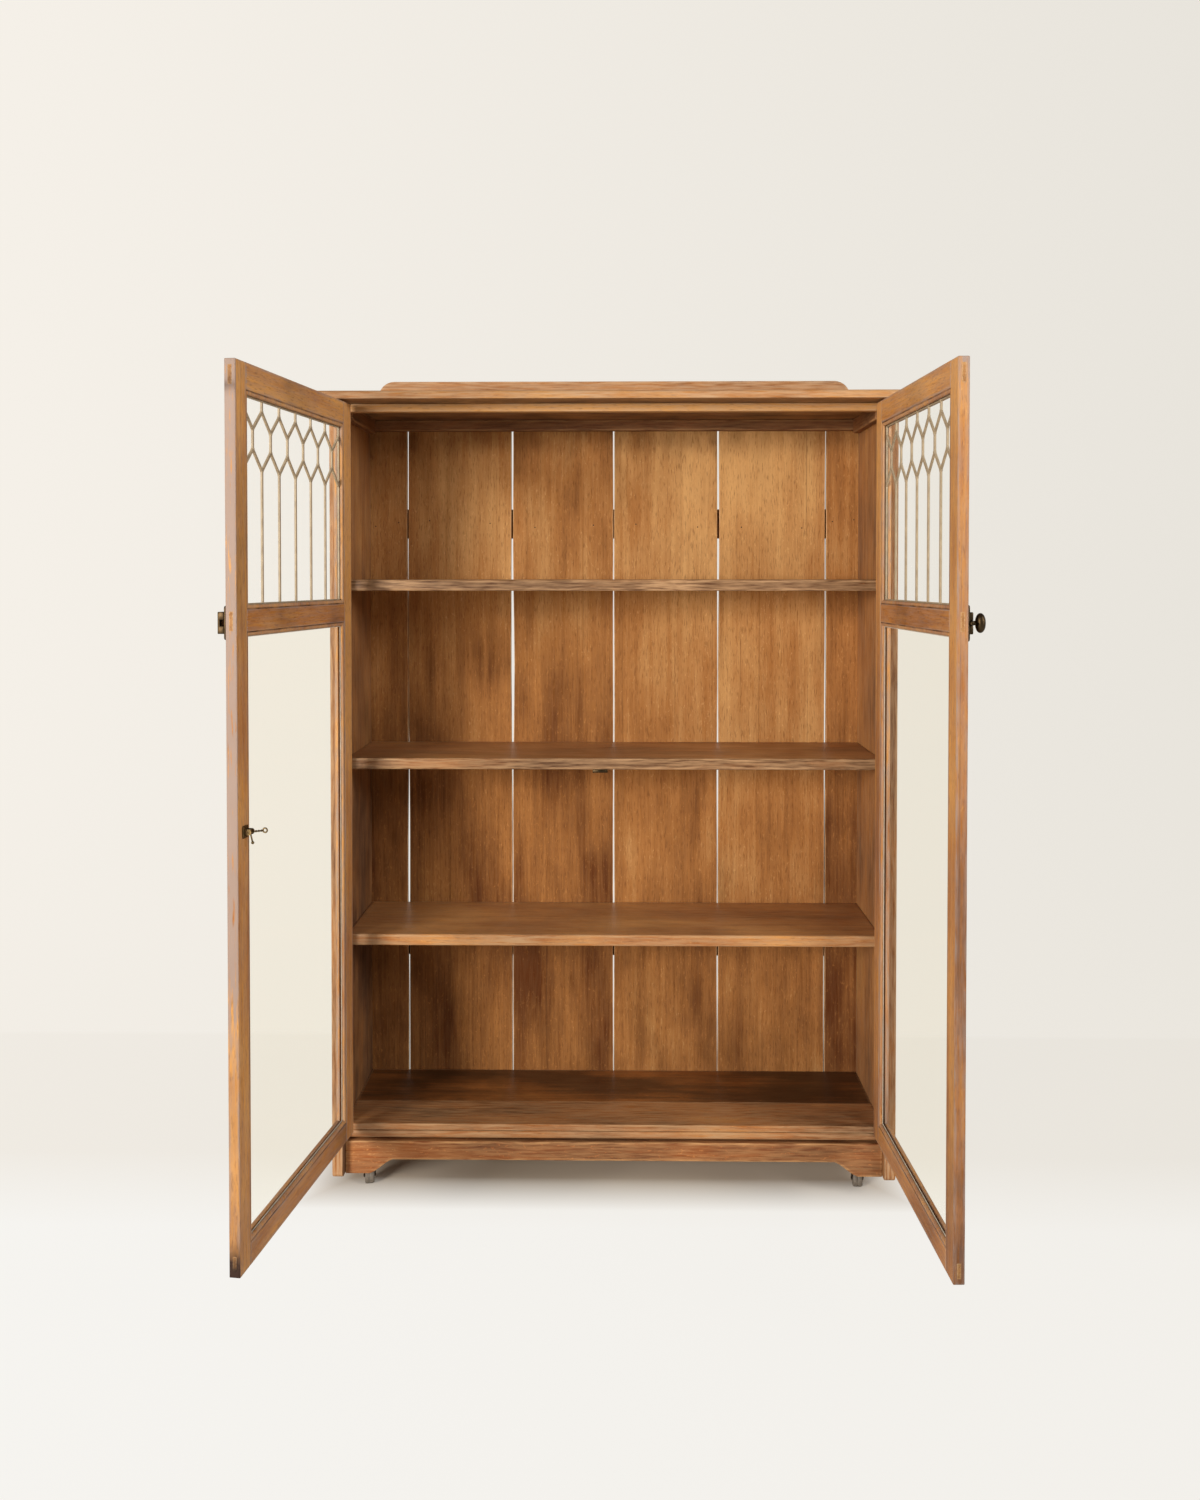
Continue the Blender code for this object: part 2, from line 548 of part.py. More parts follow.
# Castors: a forked horn on a stem, and a wheel that trails behind it
def make_castor(place):
    row, hand = place.split("_")
    sign = HANDS[hand]
    stem_axis = (sign * (CASTOR_INSET - INSIDE_HALF), CASTOR_ROWS[row], 0.0)
    swivel = empty("castor_" + place + "_swivel", stem_axis, ROOT, math.radians(CASTOR_TURNS[place]))
    bridge_top = CASTOR_RAIL_FOOT - RUN_GAP
    bridge_foot = bridge_top - HORN_BRIDGE
    cheek_inner = WHEEL_WIDTH / 2 + RUN_GAP
    cheek_outer = cheek_inner + HORN_THICKNESS
    horn_mesh = bmesh.new()
    add_box(
        horn_mesh, (-HORN_TOP_RADIUS, -cheek_outer, bridge_foot),
        (HORN_TOP_RADIUS, cheek_outer, bridge_top),
    )
    horn = add_object("castor_horn_" + place, horn_mesh, IRON, swivel)
    cheek = [
        (-HORN_TOP_RADIUS + SEAT_GAP, bridge_foot + HORN_BRIDGE / 2),
        (HORN_TOP_RADIUS - SEAT_GAP, bridge_foot + HORN_BRIDGE / 2),
        (CASTOR_TRAIL + HORN_EYE_RADIUS, WHEEL_RADIUS),
        (CASTOR_TRAIL, WHEEL_RADIUS - HORN_EYE_RADIUS),
        (CASTOR_TRAIL - HORN_EYE_RADIUS, WHEEL_RADIUS),
    ]
    for label, start in (("near_cheek", -cheek_outer + SEAT_GAP), ("far_cheek", cheek_inner)):
        cheek_mesh = bmesh.new()
        upright = Matrix(((1, 0, 0, 0), (0, 0, 1, start), (0, 1, 0, 0), (0, 0, 0, 1)))
        add_prism(cheek_mesh, cheek, upright, HORN_THICKNESS - SEAT_GAP)
        fuse(horn, label, cheek_mesh)
    stem_mesh = bmesh.new()
    stem_foot = (0.0, 0.0, bridge_foot + HORN_BRIDGE / 2)
    add_rod(stem_mesh, stem_foot, (0.0, 0.0, CASTOR_RAIL_FOOT + STEM_LENGTH), STEM_RADIUS)
    fuse(horn, "stem", stem_mesh)
    axle_mesh = bmesh.new()
    axle_reach = cheek_inner + HORN_THICKNESS / 2
    add_rod(
        axle_mesh, (CASTOR_TRAIL, -axle_reach, WHEEL_RADIUS), (CASTOR_TRAIL, axle_reach, WHEEL_RADIUS),
        AXLE_RADIUS,
    )
    fuse(horn, "axle", axle_mesh)

    bore = AXLE_RADIUS + RUN_GAP
    edge = WHEEL_WIDTH / 2
    profile = [
        (bore, -edge), (WHEEL_RADIUS - TREAD_ROUND, -edge), (WHEEL_RADIUS, -edge + TREAD_ROUND),
        (WHEEL_RADIUS, edge - TREAD_ROUND), (WHEEL_RADIUS - TREAD_ROUND, edge), (bore, edge),
    ]
    half_step = math.pi / WHEEL_SIDES
    wheel_mesh = bmesh.new()
    start = Matrix.Rotation(math.pi / 2 + half_step, 4, "Y")
    verts = [wheel_mesh.verts.new(start @ Vector((radius, along, 0.0))) for radius, along in profile]
    edges = [wheel_mesh.edges.new((a, b)) for a, b in zip(verts, verts[1:] + verts[:1])]
    bmesh.ops.spin(
        wheel_mesh, geom=verts + edges, cent=(0, 0, 0), axis=(0, 1, 0), angle=2 * math.pi,
        steps=WHEEL_SIDES, use_merge=True,
    )
    wheel = add_object("castor_wheel_" + place, wheel_mesh, WHEEL, swivel)
    wheel.location = (CASTOR_TRAIL, 0.0, WHEEL_RADIUS)
    smooth(wheel)


for place in CASTOR_TURNS:
    make_castor(place)


# Hinges: the fixed leaf carries the pin and the outer knuckles, the door leaf turns on it
def make_hinge(hand, level):
    sign = HANDS[hand]
    centre = HINGE_CENTRES[level]
    foot = centre - HINGE_HEIGHT / 2
    third = HINGE_HEIGHT / 3
    pin_x = sign * (HINGE_GAP / 2 - INSIDE_HALF)
    leaf_face = -sign * INSIDE_HALF
    leaf_bed = leaf_face - sign * LEAF_THICKNESS
    leaf_front = KNUCKLE_RADIUS - PIN_PROUD + 2 * SEAT_GAP

    def knuckle(mesh_data, x, y, low, high, radius):
        add_rod(mesh_data, (x, y, low), (x, y, high), radius)

    fixed_mesh = bmesh.new()
    add_box(fixed_mesh, (leaf_bed, leaf_front, foot), (leaf_face, LEAF_WIDTH, foot + HINGE_HEIGHT))
    fixed = add_object(f"hinge_leaf_side_{hand}_{level}", fixed_mesh, BRONZE, ROOT)
    tabs = bmesh.new()
    barrels = bmesh.new()
    for low in (foot, foot + 2 * third):
        add_box(
            tabs, (leaf_bed + sign * SEAT_GAP, -PIN_PROUD, low + SEAT_GAP),
            (leaf_face - sign * SEAT_GAP, leaf_front + LEAF_THICKNESS, low + third - RUN_GAP),
        )
        knuckle(barrels, pin_x, -PIN_PROUD, low, low + third - RUN_GAP / 2, KNUCKLE_RADIUS)
    fuse(fixed, "tabs", tabs)
    fuse(fixed, "barrels", barrels)
    pin = bmesh.new()
    knuckle(pin, pin_x, -PIN_PROUD, foot + third / 2, foot + HINGE_HEIGHT - third / 2, PIN_RADIUS)
    fuse(fixed, "pin", pin)

    edge = sign * HINGE_GAP / 2
    far = edge + sign * LEAF_THICKNESS
    front = leaf_front + PIN_PROUD
    door_mesh = bmesh.new()
    add_box(door_mesh, (edge, front, foot), (far, LEAF_WIDTH + PIN_PROUD, foot + HINGE_HEIGHT))
    leaf = add_object(f"hinge_leaf_door_{hand}_{level}", door_mesh, BRONZE, PIVOTS[hand])
    middle_foot = foot + third + RUN_GAP / 2
    middle_top = foot + 2 * third - RUN_GAP / 2
    tab = bmesh.new()
    add_box(
        tab, (edge + sign * SEAT_GAP, 0.0, middle_foot + SEAT_GAP),
        (far - sign * SEAT_GAP, front + LEAF_THICKNESS, middle_top - SEAT_GAP),
    )
    fuse(leaf, "tab", tab)
    barrel = bmesh.new()
    knuckle(barrel, 0.0, 0.0, middle_foot, middle_top, KNUCKLE_RADIUS)
    fuse(leaf, "barrel", barrel)
    bore = bmesh.new()
    knuckle(bore, 0.0, 0.0, middle_foot - CUT_PAST, middle_top + CUT_PAST, PIN_RADIUS + RUN_GAP)
    carve(leaf, bore)


for hand in HANDS:
    for level in HINGE_CENTRES:
        make_hinge(hand, level)


# Doors, drawn closed: run is measured from the hinge edge, and depth from the outer face
def door_point(hand, run, depth, height):
    sign = HANDS[hand]
    return (sign * (HINGE_GAP / 2 + run), PIN_PROUD + depth, height)


def add_door_box(mesh_data, hand, runs, depths, heights):
    low, high = (door_point(hand, runs[i], depths[i], heights[i]) for i in (0, 1))
    return add_box(mesh_data, low, high)


def door_block(name, hand, runs, depths, heights, material):
    mesh_data = bmesh.new()
    add_door_box(mesh_data, hand, runs, depths, heights)
    return add_object(f"{hand}_{name}", mesh_data, material, PIVOTS[hand])


def add_glazing_grooves(mesh_data, hand):
    """The grooves that hold the leaded light and the lower glass, as two flat slabs."""
    runs = (LIGHT_LEFT - GROOVE_DEPTH, LIGHT_RIGHT + GROOVE_DEPTH)
    for light, face, thickness in (
        (UPPER_LIGHT, LEAD_FACE, LEAD_THICKNESS),
        (LOWER_LIGHT, GLASS_FACE, GLASS_THICKNESS),
    ):
        depths = (face - SEAT_GAP, face + thickness + SEAT_GAP)
        add_door_box(mesh_data, hand, runs, depths, (light[0] - GROOVE_DEPTH, light[1] + GROOVE_DEPTH))


TENON_DEPTHS = ((DOOR_THICKNESS - TENON_THICKNESS) / 2, (DOOR_THICKNESS + TENON_THICKNESS) / 2)


def add_tenons(mesh_data, hand, rail, blind_run, through_run, spare):
    """Both tenons of a rail, or with spare room round them the mortises that they fill."""
    heights = (rail[0] + TENON_SHOULDER - spare, rail[1] - TENON_SHOULDER + spare)
    depths = (TENON_DEPTHS[0] - spare, TENON_DEPTHS[1] + spare)
    root = GROOVE_DEPTH + CUT_PAST
    add_door_box(mesh_data, hand, (blind_run, LIGHT_LEFT + root), depths, heights)
    add_door_box(mesh_data, hand, (LIGHT_RIGHT - root, through_run), depths, heights)


def make_door(hand):
    full = (0.0, DOOR_THICKNESS)
    tall = (DOOR_FOOT, DOOR_TOP)
    blind_end = LIGHT_LEFT - BLIND_TENON_LENGTH
    hinge_stile = door_block("hinge_stile", hand, (0.0, LIGHT_LEFT - SEAT_GAP), full, tall, OAK)
    meeting_stile = door_block("meeting_stile", hand, (LIGHT_RIGHT + SEAT_GAP, DOOR_WIDTH), full, tall, OAK)
    hinge_cuts = bmesh.new()
    meeting_cuts = bmesh.new()
    for cuts in (hinge_cuts, meeting_cuts):
        add_glazing_grooves(cuts, hand)
        for rail in RAILS.values():
            add_tenons(cuts, hand, rail, blind_end - SEAT_GAP, DOOR_WIDTH + CUT_PAST, SEAT_GAP)
    for centre in HINGE_CENTRES.values():
        half = HINGE_HEIGHT / 2 + SEAT_GAP
        add_door_box(
            hinge_cuts, hand, (-CUT_PAST, LEAF_THICKNESS + SEAT_GAP), (-CUT_PAST, LEAF_WIDTH + SEAT_GAP),
            (centre - half, centre + half),
        )
    carve(hinge_stile, hinge_cuts)
    carve(meeting_stile, meeting_cuts)
    for name, rail in RAILS.items():
        piece = door_block(name, hand, (LIGHT_LEFT, LIGHT_RIGHT), full, rail, OAK)
        tenons = bmesh.new()
        add_tenons(tenons, hand, rail, blind_end, DOOR_WIDTH - SEAT_GAP, 0.0)
        fuse(piece, "tenons", tenons)
        grooves = bmesh.new()
        add_glazing_grooves(grooves, hand)
        carve(piece, grooves)
    bite_runs = (LIGHT_LEFT - GLASS_BITE, LIGHT_RIGHT + GLASS_BITE)
    door_block(
        "lower_glass", hand, bite_runs, (GLASS_FACE, GLASS_FACE + GLASS_THICKNESS),
        (LOWER_LIGHT[0] - GLASS_BITE, LOWER_LIGHT[1] + GLASS_BITE), GLASS,
    )


# Leaded lights: a row of tall hexagons hung on the upright leads, drawn from the top left of the light
def pane_outlines():
    """Each pane between the leads' centre lines, as (run, fall) from the light's top left corner."""
    column = (LIGHT_RIGHT - LIGHT_LEFT) / LEAD_COLUMNS
    width = LEAD_COLUMNS * column
    outlines = []
    for number in range(LEAD_COLUMNS):
        left, right = number * column, (number + 1) * column
        middle = (left + right) / 2
        outlines.append([
            (left, 0.0), (right, 0.0), (right, HEXAGON_TOP), (middle, HEXAGON_SHOULDER), (left, HEXAGON_TOP),
        ])
        outlines.append([
            (middle, HEXAGON_HIP), (right, HEXAGON_FOOT), (right, UPPER_LIGHT_HEIGHT),
            (left, UPPER_LIGHT_HEIGHT), (left, HEXAGON_FOOT),
        ])
    for number in range(LEAD_COLUMNS + 1):
        middle = number * column
        left, right = max(middle - column / 2, 0.0), min(middle + column / 2, width)
        hexagon = [
            (middle, HEXAGON_TOP), (right, HEXAGON_SHOULDER), (right, HEXAGON_HIP),
            (middle, HEXAGON_FOOT), (left, HEXAGON_HIP), (left, HEXAGON_SHOULDER),
        ]
        if number == 0:
            hexagon = hexagon[:4]
        if number == LEAD_COLUMNS:
            hexagon = hexagon[3:] + hexagon[:1]
        outlines.append(hexagon)
    return outlines


def shrink(outline, inset):
    """Move every side of a convex outline inwards by the same distance."""
    points = [Vector(point) for point in outline]
    centre = sum(points, Vector((0.0, 0.0))) / len(points)
    lines = []
    for start, end in zip(points, points[1:] + points[:1]):
        normal = Vector((start.y - end.y, end.x - start.x)).normalized()
        if normal.dot(centre - start) < 0:
            normal.negate()
        lines.append((normal, normal.dot(start) + inset))
    shrunk = []
    for (n1, d1), (n2, d2) in zip(lines[-1:] + lines[:-1], lines):
        cross = n1.x * n2.y - n1.y * n2.x
        shrunk.append(((d1 * n2.y - d2 * n1.y) / cross, (n1.x * d2 - n2.x * d1) / cross))
    return shrunk


def make_leaded_light(hand):
    runs = (LIGHT_LEFT - GLASS_BITE, LIGHT_RIGHT + GLASS_BITE)
    heights = (UPPER_LIGHT[0] - GLASS_BITE, UPPER_LIGHT[1] + GLASS_BITE)
    panel = door_block("leaded_light", hand, runs, (LEAD_FACE, LEAD_FACE + LEAD_THICKNESS), heights, LEADED)
    pockets = bmesh.new()
    sign = HANDS[hand]
    for outline in pane_outlines():
        pocket = shrink(outline, LEAD_WIDTH / 2)
        for floor, depth in (
            (LEAD_FACE + LEAD_PROUD, -LEAD_PROUD - CUT_PAST),
            (LEAD_FACE + LEAD_THICKNESS - LEAD_PROUD, LEAD_PROUD + CUT_PAST),
        ):
            corner = door_point(hand, LIGHT_LEFT, floor, UPPER_LIGHT[1])
            hung = Matrix((
                (sign, 0, 0, corner[0]), (0, 0, 1, corner[1]), (0, -1, 0, corner[2]), (0, 0, 0, 1),
            ))
            add_prism(pockets, pocket, hung, depth)
    carve(panel, pockets)


for hand in HANDS:
    make_door(hand)
    make_leaded_light(hand)


# Latch on the right door: a plate with two guides, a bolt that slides between them, and an oval knob
def make_latch():
    hand = "right"
    plate_far = DOOR_WIDTH - PLATE_EDGE_INSET
    plate_near = plate_far - LATCH_PLATE_WIDTH
    knob_run = (plate_near + plate_far) / 2
    plate_out = -SEAT_GAP - PLATE_THICKNESS
    half_plate = LATCH_PLATE_HEIGHT / 2
    slot_half = BOLT_HEIGHT / 2 + RUN_GAP

    plate = door_block(
        "latch_plate", hand, (plate_near, plate_far), (plate_out, -SEAT_GAP),
        (LATCH_HEIGHT - half_plate, LATCH_HEIGHT + half_plate), BRONZE,
    )
    guides = bmesh.new()
    for low in (LATCH_HEIGHT + slot_half, LATCH_HEIGHT - slot_half - GUIDE_HEIGHT):
        add_door_box(
            guides, hand, (plate_near + GUIDE_END_INSET, plate_far - GUIDE_END_INSET),
            (plate_out - GUIDE_DEPTH, plate_out + PLATE_THICKNESS / 2), (low, low + GUIDE_HEIGHT),
        )
    fuse(plate, "guides", guides)
    hole = bmesh.new()
    add_rod(
        hole, door_point(hand, knob_run, plate_out - CUT_PAST, LATCH_HEIGHT),
        door_point(hand, knob_run, CUT_PAST, LATCH_HEIGHT), SPINDLE_RADIUS + RUN_GAP,
    )
    carve(plate, hole)

    bolt_in = plate_out - RUN_GAP
    bolt = door_block(
        "latch_bolt", hand, (plate_near, DOOR_WIDTH - BOLT_TIP_INSET), (bolt_in - BOLT_THICKNESS, bolt_in),
        (LATCH_HEIGHT - BOLT_HEIGHT / 2, LATCH_HEIGHT + BOLT_HEIGHT / 2), BRONZE,
    )
    slot_radius = SPINDLE_RADIUS + RUN_GAP
    slot = bmesh.new()
    add_door_box(
        slot, hand, (knob_run - BOLT_TRAVEL - slot_radius, knob_run + slot_radius),
        (bolt_in - BOLT_THICKNESS - CUT_PAST, bolt_in + CUT_PAST),
        (LATCH_HEIGHT - slot_radius, LATCH_HEIGHT + slot_radius),
    )
    carve(bolt, slot)

    rose_in = plate_out - GUIDE_DEPTH - RUN_GAP
    rose_out = rose_in - ROSE_THICKNESS
    neck_out = rose_out - NECK_LENGTH
    turn = empty("latch_knob_axis", door_point(hand, knob_run, 0.0, LATCH_HEIGHT), PIVOTS[hand])
    profile = [(0.0, neck_out - KNOB_DEPTH)]
    for ring in range(1, KNOB_RINGS):
        angle = math.pi * ring / KNOB_RINGS
        radius = KNOB_HEIGHT / 2 * math.sin(angle)
        if angle > math.pi / 2 and radius < NECK_RADIUS * KNOB_HEIGHT / KNOB_WIDTH:
            break
        profile.append((radius, neck_out - KNOB_DEPTH / 2 * (1 + math.cos(angle))))
    profile.append((NECK_RADIUS, neck_out))
    knob_mesh = bmesh.new()
    verts = [knob_mesh.verts.new((radius, depth, 0.0)) for radius, depth in profile + [(0.0, neck_out)]]
    edges = [knob_mesh.edges.new(pair) for pair in zip(verts, verts[1:])]
    bmesh.ops.spin(
        knob_mesh, geom=verts + edges, cent=(0, 0, 0), axis=(0, 1, 0), angle=2 * math.pi, steps=ROUND_SIDES,
        use_merge=True,
    )
    bmesh.ops.remove_doubles(knob_mesh, verts=knob_mesh.verts, dist=WELD_DISTANCE)
    bmesh.ops.scale(knob_mesh, vec=(KNOB_WIDTH / KNOB_HEIGHT, 1.0, 1.0), verts=knob_mesh.verts)
    knob = add_object("latch_knob", knob_mesh, BRONZE, turn)
    neck_radius = NECK_RADIUS * KNOB_WIDTH / KNOB_HEIGHT
    for label, start, end, radius in (
        ("neck", neck_out - NECK_LENGTH / 2, rose_out + ROSE_THICKNESS / 2, neck_radius),
        ("rose", rose_out, rose_in, ROSE_RADIUS),
        ("spindle", rose_in - ROSE_THICKNESS / 2, -2 * SEAT_GAP, SPINDLE_RADIUS),
    ):
        stage = bmesh.new()
        add_rod(stage, (0.0, start, 0.0), (0.0, end, 0.0), radius)
        fuse(knob, label, stage)

    half_slot = KEEPER_SLOT_HEIGHT / 2
    half_box = KEEPER_BOX_HEIGHT / 2
    half_keeper = KEEPER_PLATE_HEIGHT / 2
    keeper_far = DOOR_WIDTH - BOLT_TIP_INSET
    keeper = door_block(
        "latch_keeper", "left", (keeper_far - KEEPER_WIDTH, keeper_far), (plate_out, -SEAT_GAP),
        (LATCH_HEIGHT - half_keeper, LATCH_HEIGHT + half_keeper), BRONZE,
    )
    bridge = bmesh.new()
    add_door_box(
        bridge, "left", (keeper_far - KEEPER_WIDTH + GUIDE_END_INSET, keeper_far - SEAT_GAP),
        (plate_out - KEEPER_BOX_DEPTH, plate_out + PLATE_THICKNESS / 2),
        (LATCH_HEIGHT - half_box, LATCH_HEIGHT + half_box),
    )
    fuse(keeper, "bridge", bridge)
    slot = bmesh.new()
    add_door_box(
        slot, "left", (keeper_far - KEEPER_WIDTH - CUT_PAST, keeper_far + CUT_PAST),
        (bolt_in - BOLT_THICKNESS - 2 * RUN_GAP, plate_out + SEAT_GAP),
        (LATCH_HEIGHT - half_slot, LATCH_HEIGHT + half_slot),
    )
    carve(keeper, slot)


make_latch()


# Catch: a ring lever on a small clevis on the left door, and the strike it hooks behind
def make_catch():
    hand = "left"
    run = DOOR_WIDTH - CATCH_INSET
    face = DOOR_THICKNESS + SEAT_GAP
    half_plate = CATCH_PLATE / 2
    base = door_block(
        "catch_base", hand, (run - half_plate, run + half_plate), (face, face + CATCH_PLATE_THICKNESS),
        (CATCH_HEIGHT - half_plate, CATCH_HEIGHT + half_plate), BRONZE,
    )
    pin_depth = DOOR_THICKNESS + CATCH_REACH
    cheek_in = HUB_WIDTH / 2 + RUN_GAP
    cheek_out = cheek_in + CHEEK_THICKNESS
    cheeks = bmesh.new()
    for side in (-1, 1):
        add_door_box(
            cheeks, hand, (run + side * cheek_in, run + side * cheek_out),
            (face + CATCH_PLATE_THICKNESS / 2, pin_depth + CHEEK_RADIUS),
            (CATCH_HEIGHT - CHEEK_RADIUS, CATCH_HEIGHT + CHEEK_RADIUS),
        )
    fuse(base, "cheeks", cheeks)
    pin = bmesh.new()
    pin_end = cheek_in + CHEEK_THICKNESS / 2
    add_rod(
        pin, door_point(hand, run - pin_end, pin_depth, CATCH_HEIGHT),
        door_point(hand, run + pin_end, pin_depth, CATCH_HEIGHT), CATCH_PIN_RADIUS,
    )
    fuse(base, "pin", pin)

    axis = empty("catch_lever_axis", door_point(hand, run, pin_depth, CATCH_HEIGHT), PIVOTS[hand])
    lever_mesh = bmesh.new()
    add_rod(lever_mesh, (-HUB_WIDTH / 2, 0.0, 0.0), (HUB_WIDTH / 2, 0.0, 0.0), HUB_RADIUS)
    lever = add_object("catch_lever", lever_mesh, BRONZE, axis)
    ring_centre = Vector((0.0, RING_REACH, RING_RISE))
    outwards = ring_centre.normalized()
    arms = bmesh.new()
    add_rod(
        arms, outwards * (CATCH_PIN_RADIUS + RUN_GAP + WIRE_RADIUS / 2),
        ring_centre - outwards * (RING_RADIUS - WIRE_RADIUS / 2), SHANK_RADIUS, sides=WIRE_SIDES,
    )
    fuse(lever, "shank", arms)
    thumb_end = Vector((0.0, THUMB_REACH, -THUMB_FALL))
    thumb = bmesh.new()
    add_rod(
        thumb, thumb_end.normalized() * (CATCH_PIN_RADIUS + RUN_GAP + WIRE_RADIUS / 2), thumb_end,
        WIRE_RADIUS, sides=WIRE_SIDES,
    )
    fuse(lever, "thumb_arm", thumb)
    ball = bmesh.new()
    bmesh.ops.create_uvsphere(
        ball, u_segments=BALL_SIDES, v_segments=BALL_RINGS, radius=THUMB_BALL,
        matrix=Matrix.Translation(thumb_end),
    )
    fuse(lever, "thumb_ball", ball)
    ring = bmesh.new()
    facing = Matrix.Rotation(math.pi / 2, 4, "Y") @ Matrix.Rotation(math.pi / 2, 4, "X")
    crown = Matrix.Translation(ring_centre + Vector((0.0, 0.0, RING_RADIUS)))
    circle = bmesh.ops.create_circle(
        ring, segments=WIRE_SIDES, radius=WIRE_RADIUS, matrix=crown @ facing,
    )["verts"]
    rim = list({edge for vert in circle for edge in vert.link_edges})
    bmesh.ops.spin(
        ring, geom=circle + rim, cent=ring_centre, axis=(1, 0, 0), angle=2 * math.pi,
        steps=ROUND_SIDES, use_merge=True,
    )
    fuse(lever, "ring", ring)
    bore = bmesh.new()
    reach = HUB_WIDTH / 2 + CUT_PAST
    add_rod(bore, (-reach, 0.0, 0.0), (reach, 0.0, 0.0), CATCH_PIN_RADIUS + RUN_GAP)
    carve(lever, bore)

    strike_left = -(MEETING_GAP / 2 + CATCH_INSET) - STRIKE_WIDTH / 2
    strike_right = strike_left + STRIKE_WIDTH
    strike_top = MIDDLE_SHELF_UNDERSIDE - SEAT_GAP
    lip_back = SHELF_SETBACK + STRIKE_THICKNESS
    strike = block(
        "catch_strike", (strike_left, SHELF_SETBACK + SEAT_GAP, strike_top - STRIKE_THICKNESS),
        (strike_right, SHELF_SETBACK + STRIKE_DEPTH, strike_top), BRONZE, ROOT,
    )
    lip = bmesh.new()
    add_box(
        lip, (strike_left + SEAT_GAP, SHELF_SETBACK, strike_top - STRIKE_LIP),
        (strike_right - SEAT_GAP, lip_back, strike_top - STRIKE_THICKNESS / 2),
    )
    fuse(strike, "lip", lip)


make_catch()


# The origin goes on the floor, under the middle of the whole object as it stands with its doors open
def shift_to_origin():
    bpy.context.view_layer.update()
    graph = bpy.context.evaluated_depsgraph_get()
    places = []
    for piece in bpy.data.objects:
        if piece.type == "MESH" and not piece.hide_render:
            shown = piece.evaluated_get(graph)
            places += [shown.matrix_world @ vert.co for vert in shown.data.vertices]
    low = [min(place[i] for place in places) for i in range(3)]
    high = [max(place[i] for place in places) for i in range(3)]
    ROOT.location = (-(low[0] + high[0]) / 2, -(low[1] + high[1]) / 2, -low[2])


shift_to_origin()
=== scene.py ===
"""Looks of an oak glazed bookcase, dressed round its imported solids.

Metres, +Z up, the front towards -Y, in the solids' own frame. Both doors stand open.
"""

import json
import math
import random

import bmesh
import bpy
from mathutils import Matrix, Vector


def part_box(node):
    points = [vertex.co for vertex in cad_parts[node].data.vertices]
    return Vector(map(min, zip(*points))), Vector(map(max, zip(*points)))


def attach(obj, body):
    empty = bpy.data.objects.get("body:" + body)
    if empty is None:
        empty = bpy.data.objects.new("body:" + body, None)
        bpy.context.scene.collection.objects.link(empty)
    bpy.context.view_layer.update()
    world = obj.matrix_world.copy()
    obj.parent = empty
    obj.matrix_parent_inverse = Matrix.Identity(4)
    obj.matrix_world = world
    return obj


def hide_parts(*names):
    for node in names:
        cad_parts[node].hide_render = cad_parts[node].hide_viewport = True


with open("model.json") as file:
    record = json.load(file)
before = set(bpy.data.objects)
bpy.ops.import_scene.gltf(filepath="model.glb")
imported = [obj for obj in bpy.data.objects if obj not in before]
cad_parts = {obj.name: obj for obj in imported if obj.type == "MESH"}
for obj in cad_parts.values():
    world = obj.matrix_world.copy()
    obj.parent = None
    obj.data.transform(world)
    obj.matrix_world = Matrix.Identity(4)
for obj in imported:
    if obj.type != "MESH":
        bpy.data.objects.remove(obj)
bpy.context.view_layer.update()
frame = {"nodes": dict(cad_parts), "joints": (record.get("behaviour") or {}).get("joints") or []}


# Sides: one wide oak board each, planed, stained and waxed long ago. A rebate along the back edge takes
# the planks, and the feet are rounded off in front. The inner faces are dirtier towards the bottom, and the
# left one is also painted darker there, as painted shade.
def linear(code):
    """A colour written as sRGB hex, in the linear values that a shader takes."""
    parts = [int(code[i:i + 2], 16) / 255 for i in (0, 2, 4)]
    return [p / 12.92 if p <= 0.04045 else ((p + 0.055) / 1.055) ** 2.4 for p in parts] + [1.0]


def add(tree, kind, inputs=(), **settings):
    """Add a node: settings are its own, and inputs give each socket a value or the socket that feeds it."""
    node = tree.nodes.new("ShaderNode" + kind)
    for name, value in settings.items():
        setattr(node, name, value)
    for socket, value in dict(inputs).items():
        if isinstance(value, bpy.types.NodeSocket):
            tree.links.new(value, node.inputs[socket])
        else:
            node.inputs[socket].default_value = value
    return node


def new_finish(name, roughness, metallic=0.0):
    """An empty material with its node tree and its shader."""
    finish = bpy.data.materials.new(name)
    finish.use_nodes = True
    shader = finish.node_tree.nodes["Principled BSDF"]
    shader.inputs["Roughness"].default_value = roughness
    shader.inputs["Metallic"].default_value = metallic
    return finish, finish.node_tree, shader


